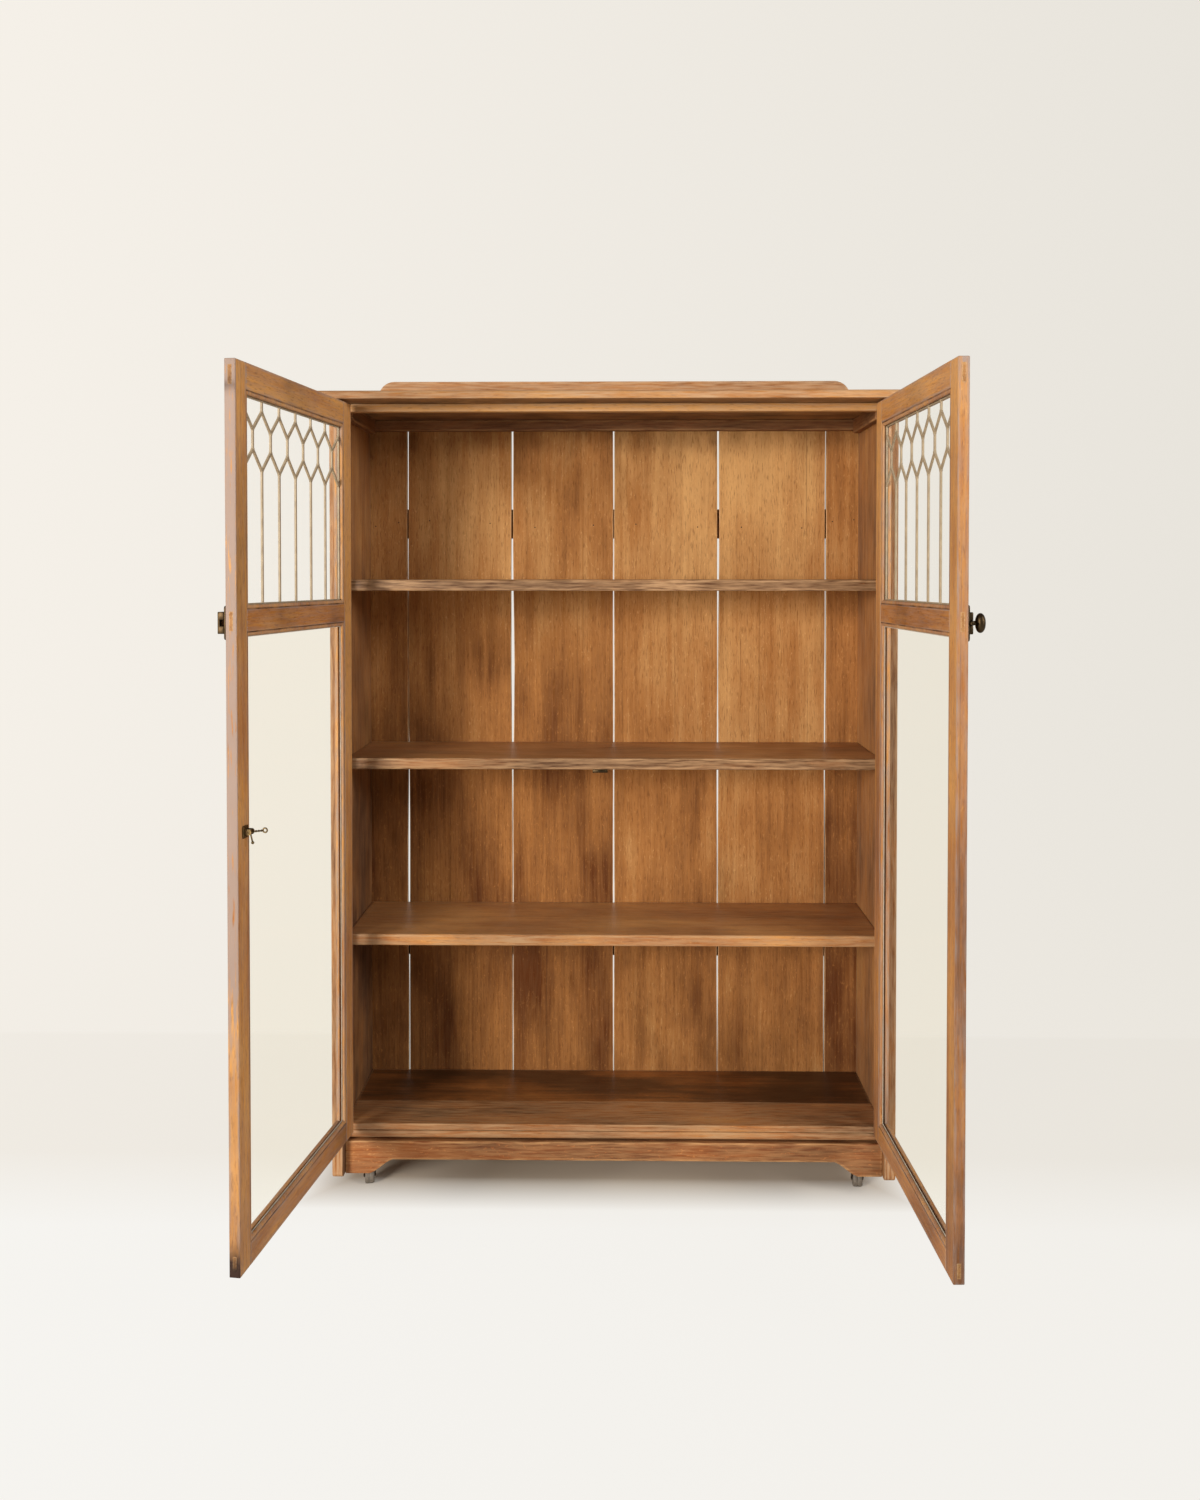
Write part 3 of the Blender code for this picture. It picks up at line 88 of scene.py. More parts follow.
def oak(name, dark, mid, light, rubbed, soiled_and_shaded, pores=0.5, flecks=0.3, figured=1.0, shine=0.3, polish=0.0):
    """Waxed oak. The eye sees long bands of growth, short dark pores and pale ray flecks along each board,
    rubbed arrises, and corners darkened by dirt and by painted shade. Real pores are 0.3 mm wide; they are
    drawn coarser, so that they show. The boards carry two attributes: grain is a place along, across and
    through the board, in metres, and state holds its tone, how rubbed it is and how soiled it is; on some
    boards the tone and the dirt also carry painted light and shade. Less figured oak has a more even tone."""
    finish, tree, shader = new_finish(name, 0.5)
    grain = add(tree, "Attribute", attribute_name="grain").outputs["Vector"]
    state_vector = add(tree, "Attribute", attribute_name="state").outputs["Vector"]
    tone, rubs, soil_and_shade = add(tree, "SeparateXYZ", {"Vector": state_vector}).outputs

    def figure(length_mm, width_mm, low, high, detail=3.0, bend=0.0):
        """A pattern in cells of that size along and across the grain, spread from low to high."""
        scale = (1000 / length_mm, 1000 / width_mm, 1000 / width_mm)
        cells = add(tree, "Mapping", {"Vector": grain, "Scale": scale})
        cloud = add(tree, "TexNoise", {
            "Vector": cells.outputs[0], "Scale": 1.0, "Detail": detail, "Roughness": 0.55, "Distortion": bend,
        })
        spread = {"Value": cloud.outputs[0], "From Min": low, "From Max": high}
        return add(tree, "MapRange", spread).outputs[0]

    def blend(amount, share, under, over):
        """Lay a colour over another, by a pattern and a share of it."""
        part = add(tree, "Math", {0: amount, 1: share}, operation="MULTIPLY").outputs[0]
        return add(tree, "Mix", {0: part, 6: under, 7: over}, data_type="RGBA").outputs[2]

    bands = figure(420, 24, 0.25, 0.75, detail=5.0, bend=0.6)
    streaks = figure(150, 4.2, 0.25, 0.75)
    patches = figure(260, 110, 0.3, 0.7, detail=3.0)
    pore = figure(17, 2.4, 0.54, 0.70, detail=2.0)
    fleck = figure(9, 3.6, 0.60, 0.74, detail=2.0, bend=0.8)
    split = figure(900, 3.0, 0.715, 0.75, detail=1.0)
    speckle = figure(48, 3.6, 0.28, 0.62, detail=3.0)
    smear = figure(90, 50, 0.18, 0.74, detail=4.0)

    shares = (
        (bands, 0.50 * figured), (streaks, 0.26 * figured), (patches, 0.64 * figured), (fleck, 0.7 * flecks),
    )
    level = add(tree, "Math", {0: tone, 1: 0.50 - 0.70 * figured}, operation="ADD").outputs[0]
    for pattern, share in shares:
        level = add(tree, "Math", {0: pattern, 1: share, 2: level}, operation="MULTIPLY_ADD").outputs[0]
    ramp = add(tree, "ValToRGB", {"Fac": level})
    ramp.color_ramp.elements.new(0.5)
    for stop, colour in zip(ramp.color_ramp.elements, (dark, mid, light)):
        stop.color = linear(colour)
    colour = blend(pore, pores, ramp.outputs["Color"], linear(dark))
    colour = blend(split, 0.35, colour, linear(soiled_and_shaded))
    rubbed_parts = add(tree, "Math", {0: rubs, 1: speckle}, operation="MULTIPLY").outputs[0]
    colour = blend(rubbed_parts, 1.0, colour, linear(rubbed))
    # Where this channel is high the dark colour goes on: dirt on most boards, painted shade on some.
    soiled_and_shaded_parts = add(tree, "Math", {0: soil_and_shade, 1: smear}, operation="MULTIPLY").outputs[0]
    colour = blend(soiled_and_shaded_parts, 1.0, colour, linear(soiled_and_shaded))
    tree.links.new(colour, shader.inputs["Base Color"])

    waxed = {"Value": patches, "To Min": 0.74 - polish, "To Max": 0.58 - polish}
    tree.links.new(add(tree, "MapRange", waxed).outputs[0], shader.inputs["Roughness"])
    shader.inputs["Specular IOR Level"].default_value = shine
    height = add(tree, "Math", {0: pore, 1: -0.8, 2: streaks}, operation="MULTIPLY_ADD").outputs[0]
    bump = add(tree, "Bump", {"Strength": 0.22, "Distance": 0.0006, "Height": height})
    tree.links.new(bump.outputs[0], shader.inputs["Normal"])
    return finish


chance = random.Random(1907)


def wander(step, reach):
    """A smooth random line: its value at a place changes over about that step, within about that reach."""
    waves = [(chance.uniform(3.0, 8.0) / step, chance.uniform(0.0, 2 * math.pi)) for _ in range(4)]
    return lambda at: reach * sum(math.sin(at * pitch + phase) for pitch, phase in waves) / 2


def slide(stops, at):
    """A value that runs evenly from stop to stop: pairs of a place and a value, in rising order."""
    for (start, first), (end, last) in zip(stops, stops[1:]):
        if at <= end:
            return first + (last - first) * max(0.0, (at - start) / (end - start))
    return stops[-1][1]


def box_shape(low, high):
    """A box between two corners."""
    shape = bmesh.new()
    spans = [sorted(pair) for pair in zip(low, high)]
    middle = [(a + b) / 2 for a, b in spans]
    place = Matrix.Translation(middle) @ Matrix.Diagonal((*(b - a for a, b in spans), 1.0))
    bmesh.ops.create_cube(shape, size=1.0, matrix=place)
    return shape


def draw_out(shape, faces, way):
    """Sweep some faces of a shape straight along, and give back the points that this moves."""
    swept = bmesh.ops.extrude_face_region(shape, geom=faces)
    moved = [item for item in swept["geom"] if isinstance(item, bmesh.types.BMVert)]
    bmesh.ops.translate(shape, verts=moved, vec=way)
    return moved


def prism(points, way):
    """A flat outline, swept straight along."""
    shape = bmesh.new()
    face = shape.faces.new([shape.verts.new(point) for point in points])
    draw_out(shape, [face], way)
    bmesh.ops.recalc_face_normals(shape, faces=shape.faces)
    return shape


def cut(shape, axis, places):
    """Cut the faces of a shape across at some places along an axis."""
    for place in places:
        point, normal = Vector(), Vector()
        point[axis], normal[axis] = place, 1.0
        everything = shape.verts[:] + shape.edges[:] + shape.faces[:]
        bmesh.ops.bisect_plane(shape, geom=everything, plane_co=point, plane_no=normal)


def evenly(low, high, parts):
    """The places between a number of equal parts."""
    return [low + (high - low) * part / parts for part in range(1, parts)]


def edges_at(shape, test):
    """The edges of a shape whose ends both lie at places that pass a test."""
    return [edge for edge in shape.edges if all(test(vert.co) for vert in edge.verts)]


def sharp_edges(shape, least=1.0):
    """The edges of a shape that stand out by more than an angle."""
    return [edge for edge in shape.edges if edge.calc_face_angle_signed() > least]


def round_edges(shape, edges, radius, steps):
    """Round off some edges of a shape, and give back the faces this makes."""
    return bmesh.ops.bevel(
        shape, geom=edges, offset=radius, segments=steps, profile=0.5, affect="EDGES", material=-1,
    )["faces"]


def place_piece(name, shape, finish, place=Matrix(), smooth=True):
    """Make a shape an object: its faces point out, and its place is in its mesh."""
    shape.transform(place)
    shape.normal_update()
    bmesh.ops.recalc_face_normals(shape, faces=shape.faces)
    mesh = bpy.data.meshes.new(name)
    shape.to_mesh(mesh)
    shape.free()
    if smooth:
        mesh.shade_smooth()
        mesh.set_sharp_from_angle(angle=math.radians(48))
    mesh.materials.append(finish)
    piece = bpy.data.objects.new(name, mesh)
    bpy.context.scene.collection.objects.link(piece)
    return piece


def board(
    name, shape, along, finish, arris=0.0012, rim=0.004, tone=0.0, rubs=0.6, edge_rubs=0.9,
    lift=None, bare=None, soil_and_shade=None, place=Matrix(),
):
    """Dress a sharp-edged shape as a board of oak: round its arrises, rub a rim beside them, and mark its
    grain, which runs along an axis. lift, bare and soil tell, for a place on the board, how much lighter,
    how bare and how soiled it is there. On some boards part of the lift and of the soil is painted light
    and shade."""
    grain = shape.verts.layers.float_vector.new("grain")
    state = shape.verts.layers.float_vector.new("state")
    rounded = set(round_edges(shape, sharp_edges(shape, 0.5), arris, 2))
    flats = {}
    for face in shape.faces:
        if face not in rounded:
            flats.setdefault(tuple(round(x, 1) for x in face.normal), []).append(face)
    inner = set()
    for faces in flats.values():
        widths = sorted(face.calc_area() / max(edge.calc_length() for edge in face.edges) for face in faces)
        narrowest = min(rim, widths[len(widths) // 2] / 4)
        bmesh.ops.inset_region(shape, faces=faces, thickness=narrowest, use_even_offset=True)
        inner.update(vert for face in faces for vert in face.verts)
    axes = [along] + [i for i in range(3) if i != along]
    start = Vector([chance.uniform(0.0, 30.0) for _ in axes])
    for vert in shape.verts:
        vert[grain] = Vector([vert.co[i] for i in axes]) + start
        rubbed = rubs if vert in inner else max(rubs, edge_rubs)
        rubbed = max(rubbed, bare(vert.co)) if bare else rubbed
        lighter = tone + lift(vert.co) if lift else tone
        vert[state] = (lighter, rubbed, max(0.0, soil_and_shade(vert.co)) if soil_and_shade else 0.0)
    return place_piece(name, shape, finish, place)


def fit(piece, body, slot, *nodes):
    """A piece moves with a body and may stand for nodes; the slot is not used."""
    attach(piece, body)
    if nodes:
        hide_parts(*nodes)
    return piece


X, Y, Z = 0, 1, 2
NEAR = 0.001                     # within this a place counts as on a board's face
OUTSIDE_OAK = oak("waxed_oak", "5A3010", "A0662E", "C48E4C", "B89674", "2E180A")
HANDS = {"left": 1, "right": -1}
REBATE_WIDTH, REBATE_DEPTH = 0.010, 0.026     # the step for the planks
FOOT_ROUND = 0.008
SIDE_EDGE = 0.0025               # how far back the front edge's rounding and wear reach
# Painted shade: the left inner face is painted darker towards the bottom, over the dirt both sides carry.
SIDE_SOIL_AND_SHADE = {
    "left": [(0.14, 0.80), (0.5, 0.70), (0.8, 0.60), (1.2, 0.30), (1.5, 0.15)],
    "right": [(0.14, 0.40), (0.5, 0.30), (1.2, 0.10), (1.5, 0.25)],
}
SIDE_PAINTED_SHADE = {
    "left": [(0.14, -0.35), (0.5, -0.25), (0.9, 0.0), (1.5, 0.0)],
    "right": [(0.14, 0.0), (1.5, 0.0)],
}

for hand, sign in HANDS.items():
    low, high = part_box("side_" + hand)
    outer, inner = (low.x, high.x) if hand == "left" else (high.x, low.x)
    step = inner - sign * REBATE_WIDTH
    front, back = low.y, high.y
    outline = [
        (outer, front), (inner, front), (inner, back - REBATE_DEPTH), (step, back - REBATE_DEPTH),
        (step, back), (outer, back),
    ]
    shape = prism([(x, y, low.z) for x, y in outline], (0.0, 0.0, high.z - low.z))
    toe = edges_at(shape, lambda p: p.z < low.z + NEAR and p.y < front + NEAR)
    round_edges(shape, toe, FOOT_ROUND, 5)
    cut(shape, Z, evenly(low.z, high.z, 16))
    side = board(
        "side_board_" + hand, shape, Z, OUTSIDE_OAK, arris=0.002, tone=-0.12, rubs=0.35,
        lift=lambda p: slide(SIDE_PAINTED_SHADE[hand], p.z) if abs(p.x - inner) < NEAR else 0.0,
        bare=lambda p: 0.7 if p.y < front + SIDE_EDGE else 0.0,
        soil_and_shade=lambda p: slide(SIDE_SOIL_AND_SHADE[hand], p.z) if abs(p.x - inner) < NEAR else 0.0,
    )
    fit(side, "carcase", "oak", "side_" + hand)

inside_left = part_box("side_left")[1].x
inside_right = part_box("side_right")[0].x
side_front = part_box("side_left")[0].y

# Top: a thin overhanging board with a rounded front edge, rubbed pale by handling, a low gallery board set
# in a groove along its back, and the front rail below it that the doors shut against. The top's underside
# inside the cabinet is painted dark, as painted shade, and the rail is painted lighter, as painted light.
TOP_ROUND, TOP_EDGE, GALLERY_CORNER = 0.007, 0.006, 0.033
TOP_SOIL = [(-0.55, 0.4), (0.0, 0.15), (0.3, 0.0)]
TOP_LIFT = [(-0.55, 0.0), (0.2, 0.0), (0.55, 0.25)]

low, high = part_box("top_board")
shape = box_shape(low, high)
front_edges = [
    edge for edge in edges_at(shape, lambda p: p.z > high.z - NEAR)
    if any(vert.co.y < low.y + NEAR for vert in edge.verts)
]
round_edges(shape, front_edges, TOP_ROUND, 4)
cut(shape, X, evenly(low.x, high.x, 48))
cut(shape, Y, [side_front])
wear = wander(0.25, 0.35)
top = board(
    "top_board_oak", shape, X, OUTSIDE_OAK, tone=0.1, lift=lambda p: slide(TOP_LIFT, p.x),
    bare=lambda p: 0.5 + wear(p.x) if p.y < low.y + TOP_EDGE else 0.0,
    # Painted shade: the underside inside the cabinet is painted dark.
    soil_and_shade=lambda p: 0.85 if p.z < low.z + 0.0005 and p.y > side_front - NEAR else slide(TOP_SOIL, p.x),
)
fit(top, "carcase", "oak", "top_board")

low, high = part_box("gallery_board")
low.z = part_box("top_board")[1].z
shape = box_shape(low, high)
upper_corners = [
    edge for edge in edges_at(shape, lambda p: p.z > high.z - NEAR)
    if abs(edge.verts[0].co.x - edge.verts[1].co.x) < NEAR
]
round_edges(shape, upper_corners, GALLERY_CORNER, 8)
gallery = board("gallery_oak", shape, X, OUTSIDE_OAK, tone=-0.15)
fit(gallery, "carcase", "oak", "gallery_board")

# Painted light: the rail's tone is raised, standing in for light that reaches it under the overhang.
rail = board("top_stop_oak", box_shape(*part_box("top_stop_rail")), X, OUTSIDE_OAK, tone=0.7)
fit(rail, "carcase", "oak", "top_stop_rail")

# Inside rails: unpolished strips of oak gone dark, screwed under the top to hold it, nailed behind the planks
# as battens, and fixed below the bottom board to carry the castors.
INSIDE_OAK = oak("dark_oak", "3A1E0B", "6E4020", "925F34", "A07850", "1C1007")

for node, along, arris in (
    ("back_top_rail", X, 0.0012), ("top_cleat_left", Y, 0.0012), ("top_cleat_right", Y, 0.0012),
    ("back_batten_lower", X, 0.002), ("back_batten_upper", X, 0.002),
    ("castor_rail_left", Y, 0.002), ("castor_rail_right", Y, 0.002),
):
    strip = board(node + "_oak", box_shape(*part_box(node)), along, INSIDE_OAK, arris=arris, rubs=0.35)
    fit(strip, "carcase", "oak_inside", node)

# Back: six upright oak planks, nailed on. They have shrunk apart unevenly, so that light shows between them.
# They are painted lighter towards the top and darker towards the bottom, as painted light and shade, with
# some dirt low down, and painted shade darkens them just under the top.
BACK_OAK = oak(
    "oak_planks", "5C3012", "AA733F", "D2A268", "DDB488", "361B0A",
    pores=0.45, flecks=0.35, figured=0.68, shine=0.1,
)
PLANK_TONES = (0.0, 0.0, -0.06, 0.16, 0.22, -0.06)
BAY_MIDDLES = (0.31, 0.66, 1.00, 1.35)
TOUCHING = 0.0001                # within this a place counts as on an edge
GAP_WIDTHS_MM = (                # each gap's from the bottom bay up
    (3.1, 3.9, 0.3, 3.1), (1.7, 1.1, 7.0, 3.2), (2.2, 2.5, 2.2, 2.3),
    (1.8, 3.0, 2.4, 4.5), (2.1, 1.7, 3.7, 2.3),
)
MARGINS = (0.15, 0.85)           # shares of a plank's width, between which it stays cleaner
MARGIN_START = 0.36              # the same, from its middle
# Painted light and shade: tone rising towards the top; then dirt low down and painted shade under the top.
PLANK_LIGHT_AND_SHADE = [(0.2, -0.27), (0.66, -0.23), (1.0, -0.08), (1.2, 0.06), (1.45, 0.14)]
PLANK_SOIL_AND_SHADE = [(0.13, 0.35), (0.5, 0.15), (0.85, 0.08), (1.30, 0.0), (1.42, 0.1), (1.48, 0.5)]

plank_boxes = [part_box(f"back_plank_{number}") for number in range(1, 7)]
gap_edges = [None]
for (_, left), (right, _), widths in zip(plank_boxes, plank_boxes[1:], GAP_WIDTHS_MM):
    stops = [(height, width / 2000) for height, width in zip(BAY_MIDDLES, widths)]
    gap_edges.append(((left.x + right.x) / 2, stops))
gap_edges.append(None)
for number, tone in enumerate(PLANK_TONES, start=1):
    low, high = plank_boxes[number - 1]
    shape = box_shape(low, high)
    cut(shape, Z, evenly(low.z, high.z, 32))
    cut(shape, X, [low.x + (high.x - low.x) * share for share in MARGINS])
    for gap, edge_x, way in ((gap_edges[number - 1], low.x, 1), (gap_edges[number], high.x, -1)):
        if gap:
            crook = wander(0.5, 0.0004)
            for vert in shape.verts:
                if abs(vert.co.x - edge_x) < TOUCHING:
                    vert.co.x = gap[0] + way * slide(gap[1], vert.co.z) + crook(vert.co.z)
    cloud, margin = wander(0.9, 0.12), wander(0.6, 0.25)
    middle = (low.x + high.x) / 2
    plank = board(
        f"back_plank_{number}_oak", shape, Z, BACK_OAK, arris=0.0008, rim=0.0012, tone=tone, rubs=0.05,
        lift=lambda p: slide(PLANK_LIGHT_AND_SHADE, p.z),
        soil_and_shade=lambda p: slide(PLANK_SOIL_AND_SHADE, p.z) + max(0.0, cloud(p.z))
        + (max(0.0, margin(p.z)) if abs(p.x - middle) > MARGIN_START * (high.x - low.x) else 0.0),
    )
    fit(plank, "carcase", "oak_back", f"back_plank_{number}")

# Shelves: thick oak boards housed in the sides, with their front edges rounded over and worn in patches.
SHELF_OAK = oak("worn_oak", "48270E", "985C2B", "CA9050", "AE8A66", "2A170A", polish=0.25)
SHELF_LOOKS = {          # tone of the front edge and of the faces, and how bare the edge is worn
    "shelf_upper": (-0.58, -0.1, 0.30), "shelf_middle": (-0.52, 0.06, 0.15),
    "shelf_lower": (0.12, 0.12, 0.35),
}
EDGE_DEPTH = 0.003       # how far back the front edge's rounding and wear reach

for node, (tone, face_tone, worn) in SHELF_LOOKS.items():
    low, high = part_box(node)
    low.x, high.x = inside_left, inside_right
    shape = box_shape(low, high)
    cut(shape, X, evenly(low.x, high.x, 40))
    cut(shape, Y, evenly(low.y, high.y, 4))
    wear, grime = wander(0.3, 0.45), wander(0.8, 0.35)
    shelf = board(
        node + "_oak", shape, X, SHELF_OAK, arris=0.0025, tone=tone,
        lift=lambda p: 0.0 if p.y < low.y + EDGE_DEPTH else face_tone - tone,
        bare=lambda p: worn + wear(p.x) if p.y < low.y + EDGE_DEPTH else 0.0,
        soil_and_shade=lambda p: 0.0 if p.y < low.y + EDGE_DEPTH else grime(p.x + p.y),
    )
    fit(shelf, "carcase", "oak_worn", node)

# Bottom: two boards glued edge to edge, the back one darker. The front edge is moulded: a flat band above,
# a narrow groove and a round bead below.
FRONT_WIDTH = 0.108            # of the front board
JOINT_GAP, JOINT_DROP = 0.0004, 0.0006     # between the boards, and of the back one below the front one
BAND, GROOVE, BEAD_HEIGHT, BEAD_OUT = 0.0120, 0.0015, 0.0150, 0.0045
BEAD_STEPS = 8

low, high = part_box("bottom_board")
groove_z = high.z - BAND
outline = [
    (low.y + FRONT_WIDTH, low.z), (low.y + FRONT_WIDTH, high.z), (low.y, high.z), (low.y, groove_z),
    (low.y + BEAD_OUT, groove_z - GROOVE / 2),
]
for step in range(BEAD_STEPS + 1):
    angle = math.pi * step / BEAD_STEPS
    outline.append((
        low.y + BEAD_OUT - BEAD_OUT * math.sin(angle),
        low.z + BEAD_HEIGHT / 2 * (1 + math.cos(angle)),
    ))
shape = prism([(inside_left, y, z) for y, z in outline], (inside_right - inside_left, 0.0, 0.0))
cut(shape, X, evenly(inside_left, inside_right, 32))
wear = wander(0.25, 0.3)
front_board = board(
    "bottom_front_oak", shape, X, SHELF_OAK, arris=0.0008, tone=-0.14,
    bare=lambda p: 0.40 + wear(p.x) if p.y < low.y + EDGE_DEPTH else 0.0,
    soil_and_shade=lambda p: 0.8 if p.y < low.y + 0.006 and abs(p.z - groove_z + GROOVE / 2) < NEAR else 0.1,
)
fit(front_board, "carcase", "oak_worn", "bottom_board")
shape = box_shape(
    (inside_left, low.y + FRONT_WIDTH + JOINT_GAP, low.z), (inside_right, high.y, high.z - JOINT_DROP),
)
cut(shape, X, evenly(inside_left, inside_right, 16))
grime = wander(0.8, 0.3)
back_board = board(
    "bottom_back_oak", shape, X, SHELF_OAK, tone=-0.36, rubs=0.1, soil_and_shade=lambda p: 0.38 + grime(p.x),
)
fit(back_board, "carcase", "oak_worn", "bottom_board")

# Plinth: a shallow board with a sawn bracket at each end, set back under the bottom board. It is cut on the
# quarter, so it shows the brightest flecks.
PLINTH_OAK = oak(
    "flecked_oak", "50260F", "8C4C20", "C08248", "B98C5E", "2C1A0C", pores=0.28, flecks=0.75, figured=0.8,
)
BRACKET_FOOT, BRACKET_SLOPE, PLINTH_HEIGHT = 0.046, 0.045, 0.0355
BRACKET_STEPS = 10
PLINTH_LIFT = [(-0.55, 0.40), (-0.42, 0.30), (-0.25, 0.0), (0.55, 0.0)]

low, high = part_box("plinth")
arch = high.z - PLINTH_HEIGHT
left_slope, right_slope = [], []
for step in range(BRACKET_STEPS + 1):
    run = step / BRACKET_STEPS
    fall = run / 2 + (1 - math.cos(math.pi * run)) / 4
    z = arch - (arch - low.z) * fall
    left_slope.insert(0, (low.x + BRACKET_FOOT + BRACKET_SLOPE * (1 - run), z))
    right_slope.append((high.x - BRACKET_FOOT - BRACKET_SLOPE * (1 - run), z))
outline = [(low.x, high.z), (low.x, low.z), *left_slope, *right_slope, (high.x, low.z), (high.x, high.z)]
shape = prism([(x, low.y, z) for x, z in outline], (0.0, high.y - low.y, 0.0))
cut(shape, X, evenly(low.x, high.x, 24))
plinth = board(
    "plinth_oak", shape, X, PLINTH_OAK, tone=-0.4, rubs=0.4, lift=lambda p: slide(PLINTH_LIFT, p.x),
)
fit(plinth, "carcase", "oak", "plinth")

# Doors: rebated oak frames, each stile a single length and each rail tenoned between the stiles, through
# the meeting stile, whose edge shows the tenons' ends. They are drawn closed, in run from the hinge edge,
# depth from the outer face and height, and then swung open on their pins.
OPENINGS = {"left": 97.3, "right": 91.9}
PIN_TO_EDGE, PIN_TO_FACE = 0.0005, 0.0042
SEAT_DEPTH = 0.0068            # outer face to the rebate that the glass lies in
BEAD, BEAD_SETBACK = 0.007, 0.0007
BEAD_SEATS = {"upper": 0.0118, "lower": 0.0108}     # outer face to the glass that the bead lies on
SEAM = 0.0055                  # how far from the light the dirt starts, in the joint behind the bead
TENON_FRONT, TENON_BACK, TENON_SHOULDER = 0.0055, 0.0120, 0.009
TENON_SHOWN, TENON_PROUD = 0.004, 0.0002            # the length that is drawn, and how far it stands out
joints = {joint["name"]: joint for joint in frame["joints"]}

door_place = {}
for hand, sign in HANDS.items():
    pin_x, pin_y, _ = joints[hand + "_door_hinge"]["pos_m"]
    swing = Matrix.Rotation(-sign * math.radians(OPENINGS[hand]), 4, "Z")
    closed = Matrix.Translation((sign * PIN_TO_EDGE, PIN_TO_FACE, 0.0)) @ Matrix.Diagonal((sign, 1, 1, 1))
    door_place[hand] = Matrix.Translation((pin_x, pin_y, 0.0)) @ swing @ closed


def door_box(hand, name):
    """Lowest and highest corner of a door's node, as the door is drawn closed."""
    back = door_place[hand].inverted()
    places = [back @ vert.co for vert in frame["nodes"][name].data.vertices]
    return [Vector([pick(place[i] for place in places) for i in range(3)]) for pick in (min, max)]


def extrude(shape, faces, way):
    """Draw some faces of a shape out or in, and leave nothing behind inside it."""
    draw_out(shape, faces, way)
    bmesh.ops.delete(shape, geom=faces, context="FACES_ONLY")


def rebated_rail(left, right, foot, head, thick, bead_below, bead_above):
    """A rail whose inner half is narrower by the beads, and longer, to fill the stiles' rebates."""
    shape = box_shape((left, 0.0, foot), (right, SEAT_DEPTH, head))
    cut(shape, Z, [foot + bead_below, head - bead_above])
    inner = [
        face for face in shape.faces
        if face.normal.y > 0.9 and foot + bead_below < face.calc_center_median().z < head - bead_above
    ]
    extrude(shape, inner, (0.0, thick - SEAT_DEPTH, 0.0))
    for way in (-1, 1):
        shape.normal_update()
        ends = [
            face for face in shape.faces
            if face.normal.x * way > 0.9 and face.calc_center_median().y > SEAT_DEPTH
        ]
        extrude(shape, ends, (way * BEAD, 0.0, 0.0))
    bmesh.ops.dissolve_limit(shape, angle_limit=0.01, verts=shape.verts, edges=shape.edges)
    bmesh.ops.recalc_face_normals(shape, faces=shape.faces)
    return shape


def strip_ring(left, right, foot, head, width, seat, face):
    """A mitred frame of strip that lies on the glass."""
    shape = bmesh.new()
    corners = [(left, seat, foot), (right, seat, foot), (right, seat, head), (left, seat, head)]
    middle = shape.faces.new([shape.verts.new(corner) for corner in corners])
    shape.normal_update()
    bmesh.ops.inset_individual(shape, faces=[middle], thickness=width, use_even_offset=True)
    bmesh.ops.delete(shape, geom=[middle], context="FACES_ONLY")
    draw_out(shape, shape.faces[:], (0.0, face - seat, 0.0))
    bmesh.ops.recalc_face_normals(shape, faces=shape.faces)
    return shape


def near_light(light, margin, place):
    """Whether a place lies in a light, or within a margin round it."""
    left, right, foot, head = light
    return left - margin < place.x < right + margin and foot - margin < place.z < head + margin


DOOR_OAK = oak("waxed_door_oak", "5A2E0C", "A6692B", "CE944B", "9A857A", "2E180A")
DOOR_TONES = {"left": 0.28, "right": 0.20}
# Painted light and shade: the stiles are painted lighter towards the top and darker towards the bottom.
STILE_LIGHT_AND_SHADE = [(0.2, -0.12), (0.7, -0.02), (1.2, 0.24)]
RAIL_LIFT = {"top_rail": 0.06, "middle_rail": -0.34, "bottom_rail": -0.12}
FREE_EDGE_BARE = {
    "left": [(0.1, 0.2), (0.42, 0.3), (0.62, 2.2), (1.5, 2.6)],
    "right": [(0.1, 0.1), (0.8, 0.2), (1.5, 0.4)],
}
# The left free edge is dirty at its foot and near its top; the right one is painted darker low down, as
# painted shade.
FREE_EDGE_SOIL_AND_SHADE = {
    "left": [
        (0.135, 2.2), (0.165, 1.2), (0.185, 0.3), (0.6, 0.1),
        (1.46, 0.0), (1.475, 0.9), (1.485, 0.1), (1.52, 0.2),
    ],
    "right": [(0.1, 0.6), (0.7, 0.4), (1.2, 0.1), (1.46, 0.0)],
}
# Painted shade: the right door's free edge is painted darker all along.
FREE_EDGE_SHADE = {"left": 0.0, "right": -0.30}
STILE_FOOT, STILE_HEAD = 0.05, 0.06      # the ends of a stile, where its dirt changes fastest
END_GRAIN = oak("oak_end_grain", "4A2810", "96642F", "B98A54", "C2A078", "2C1A0C", pores=0.7, flecks=0.1)
lights = {}
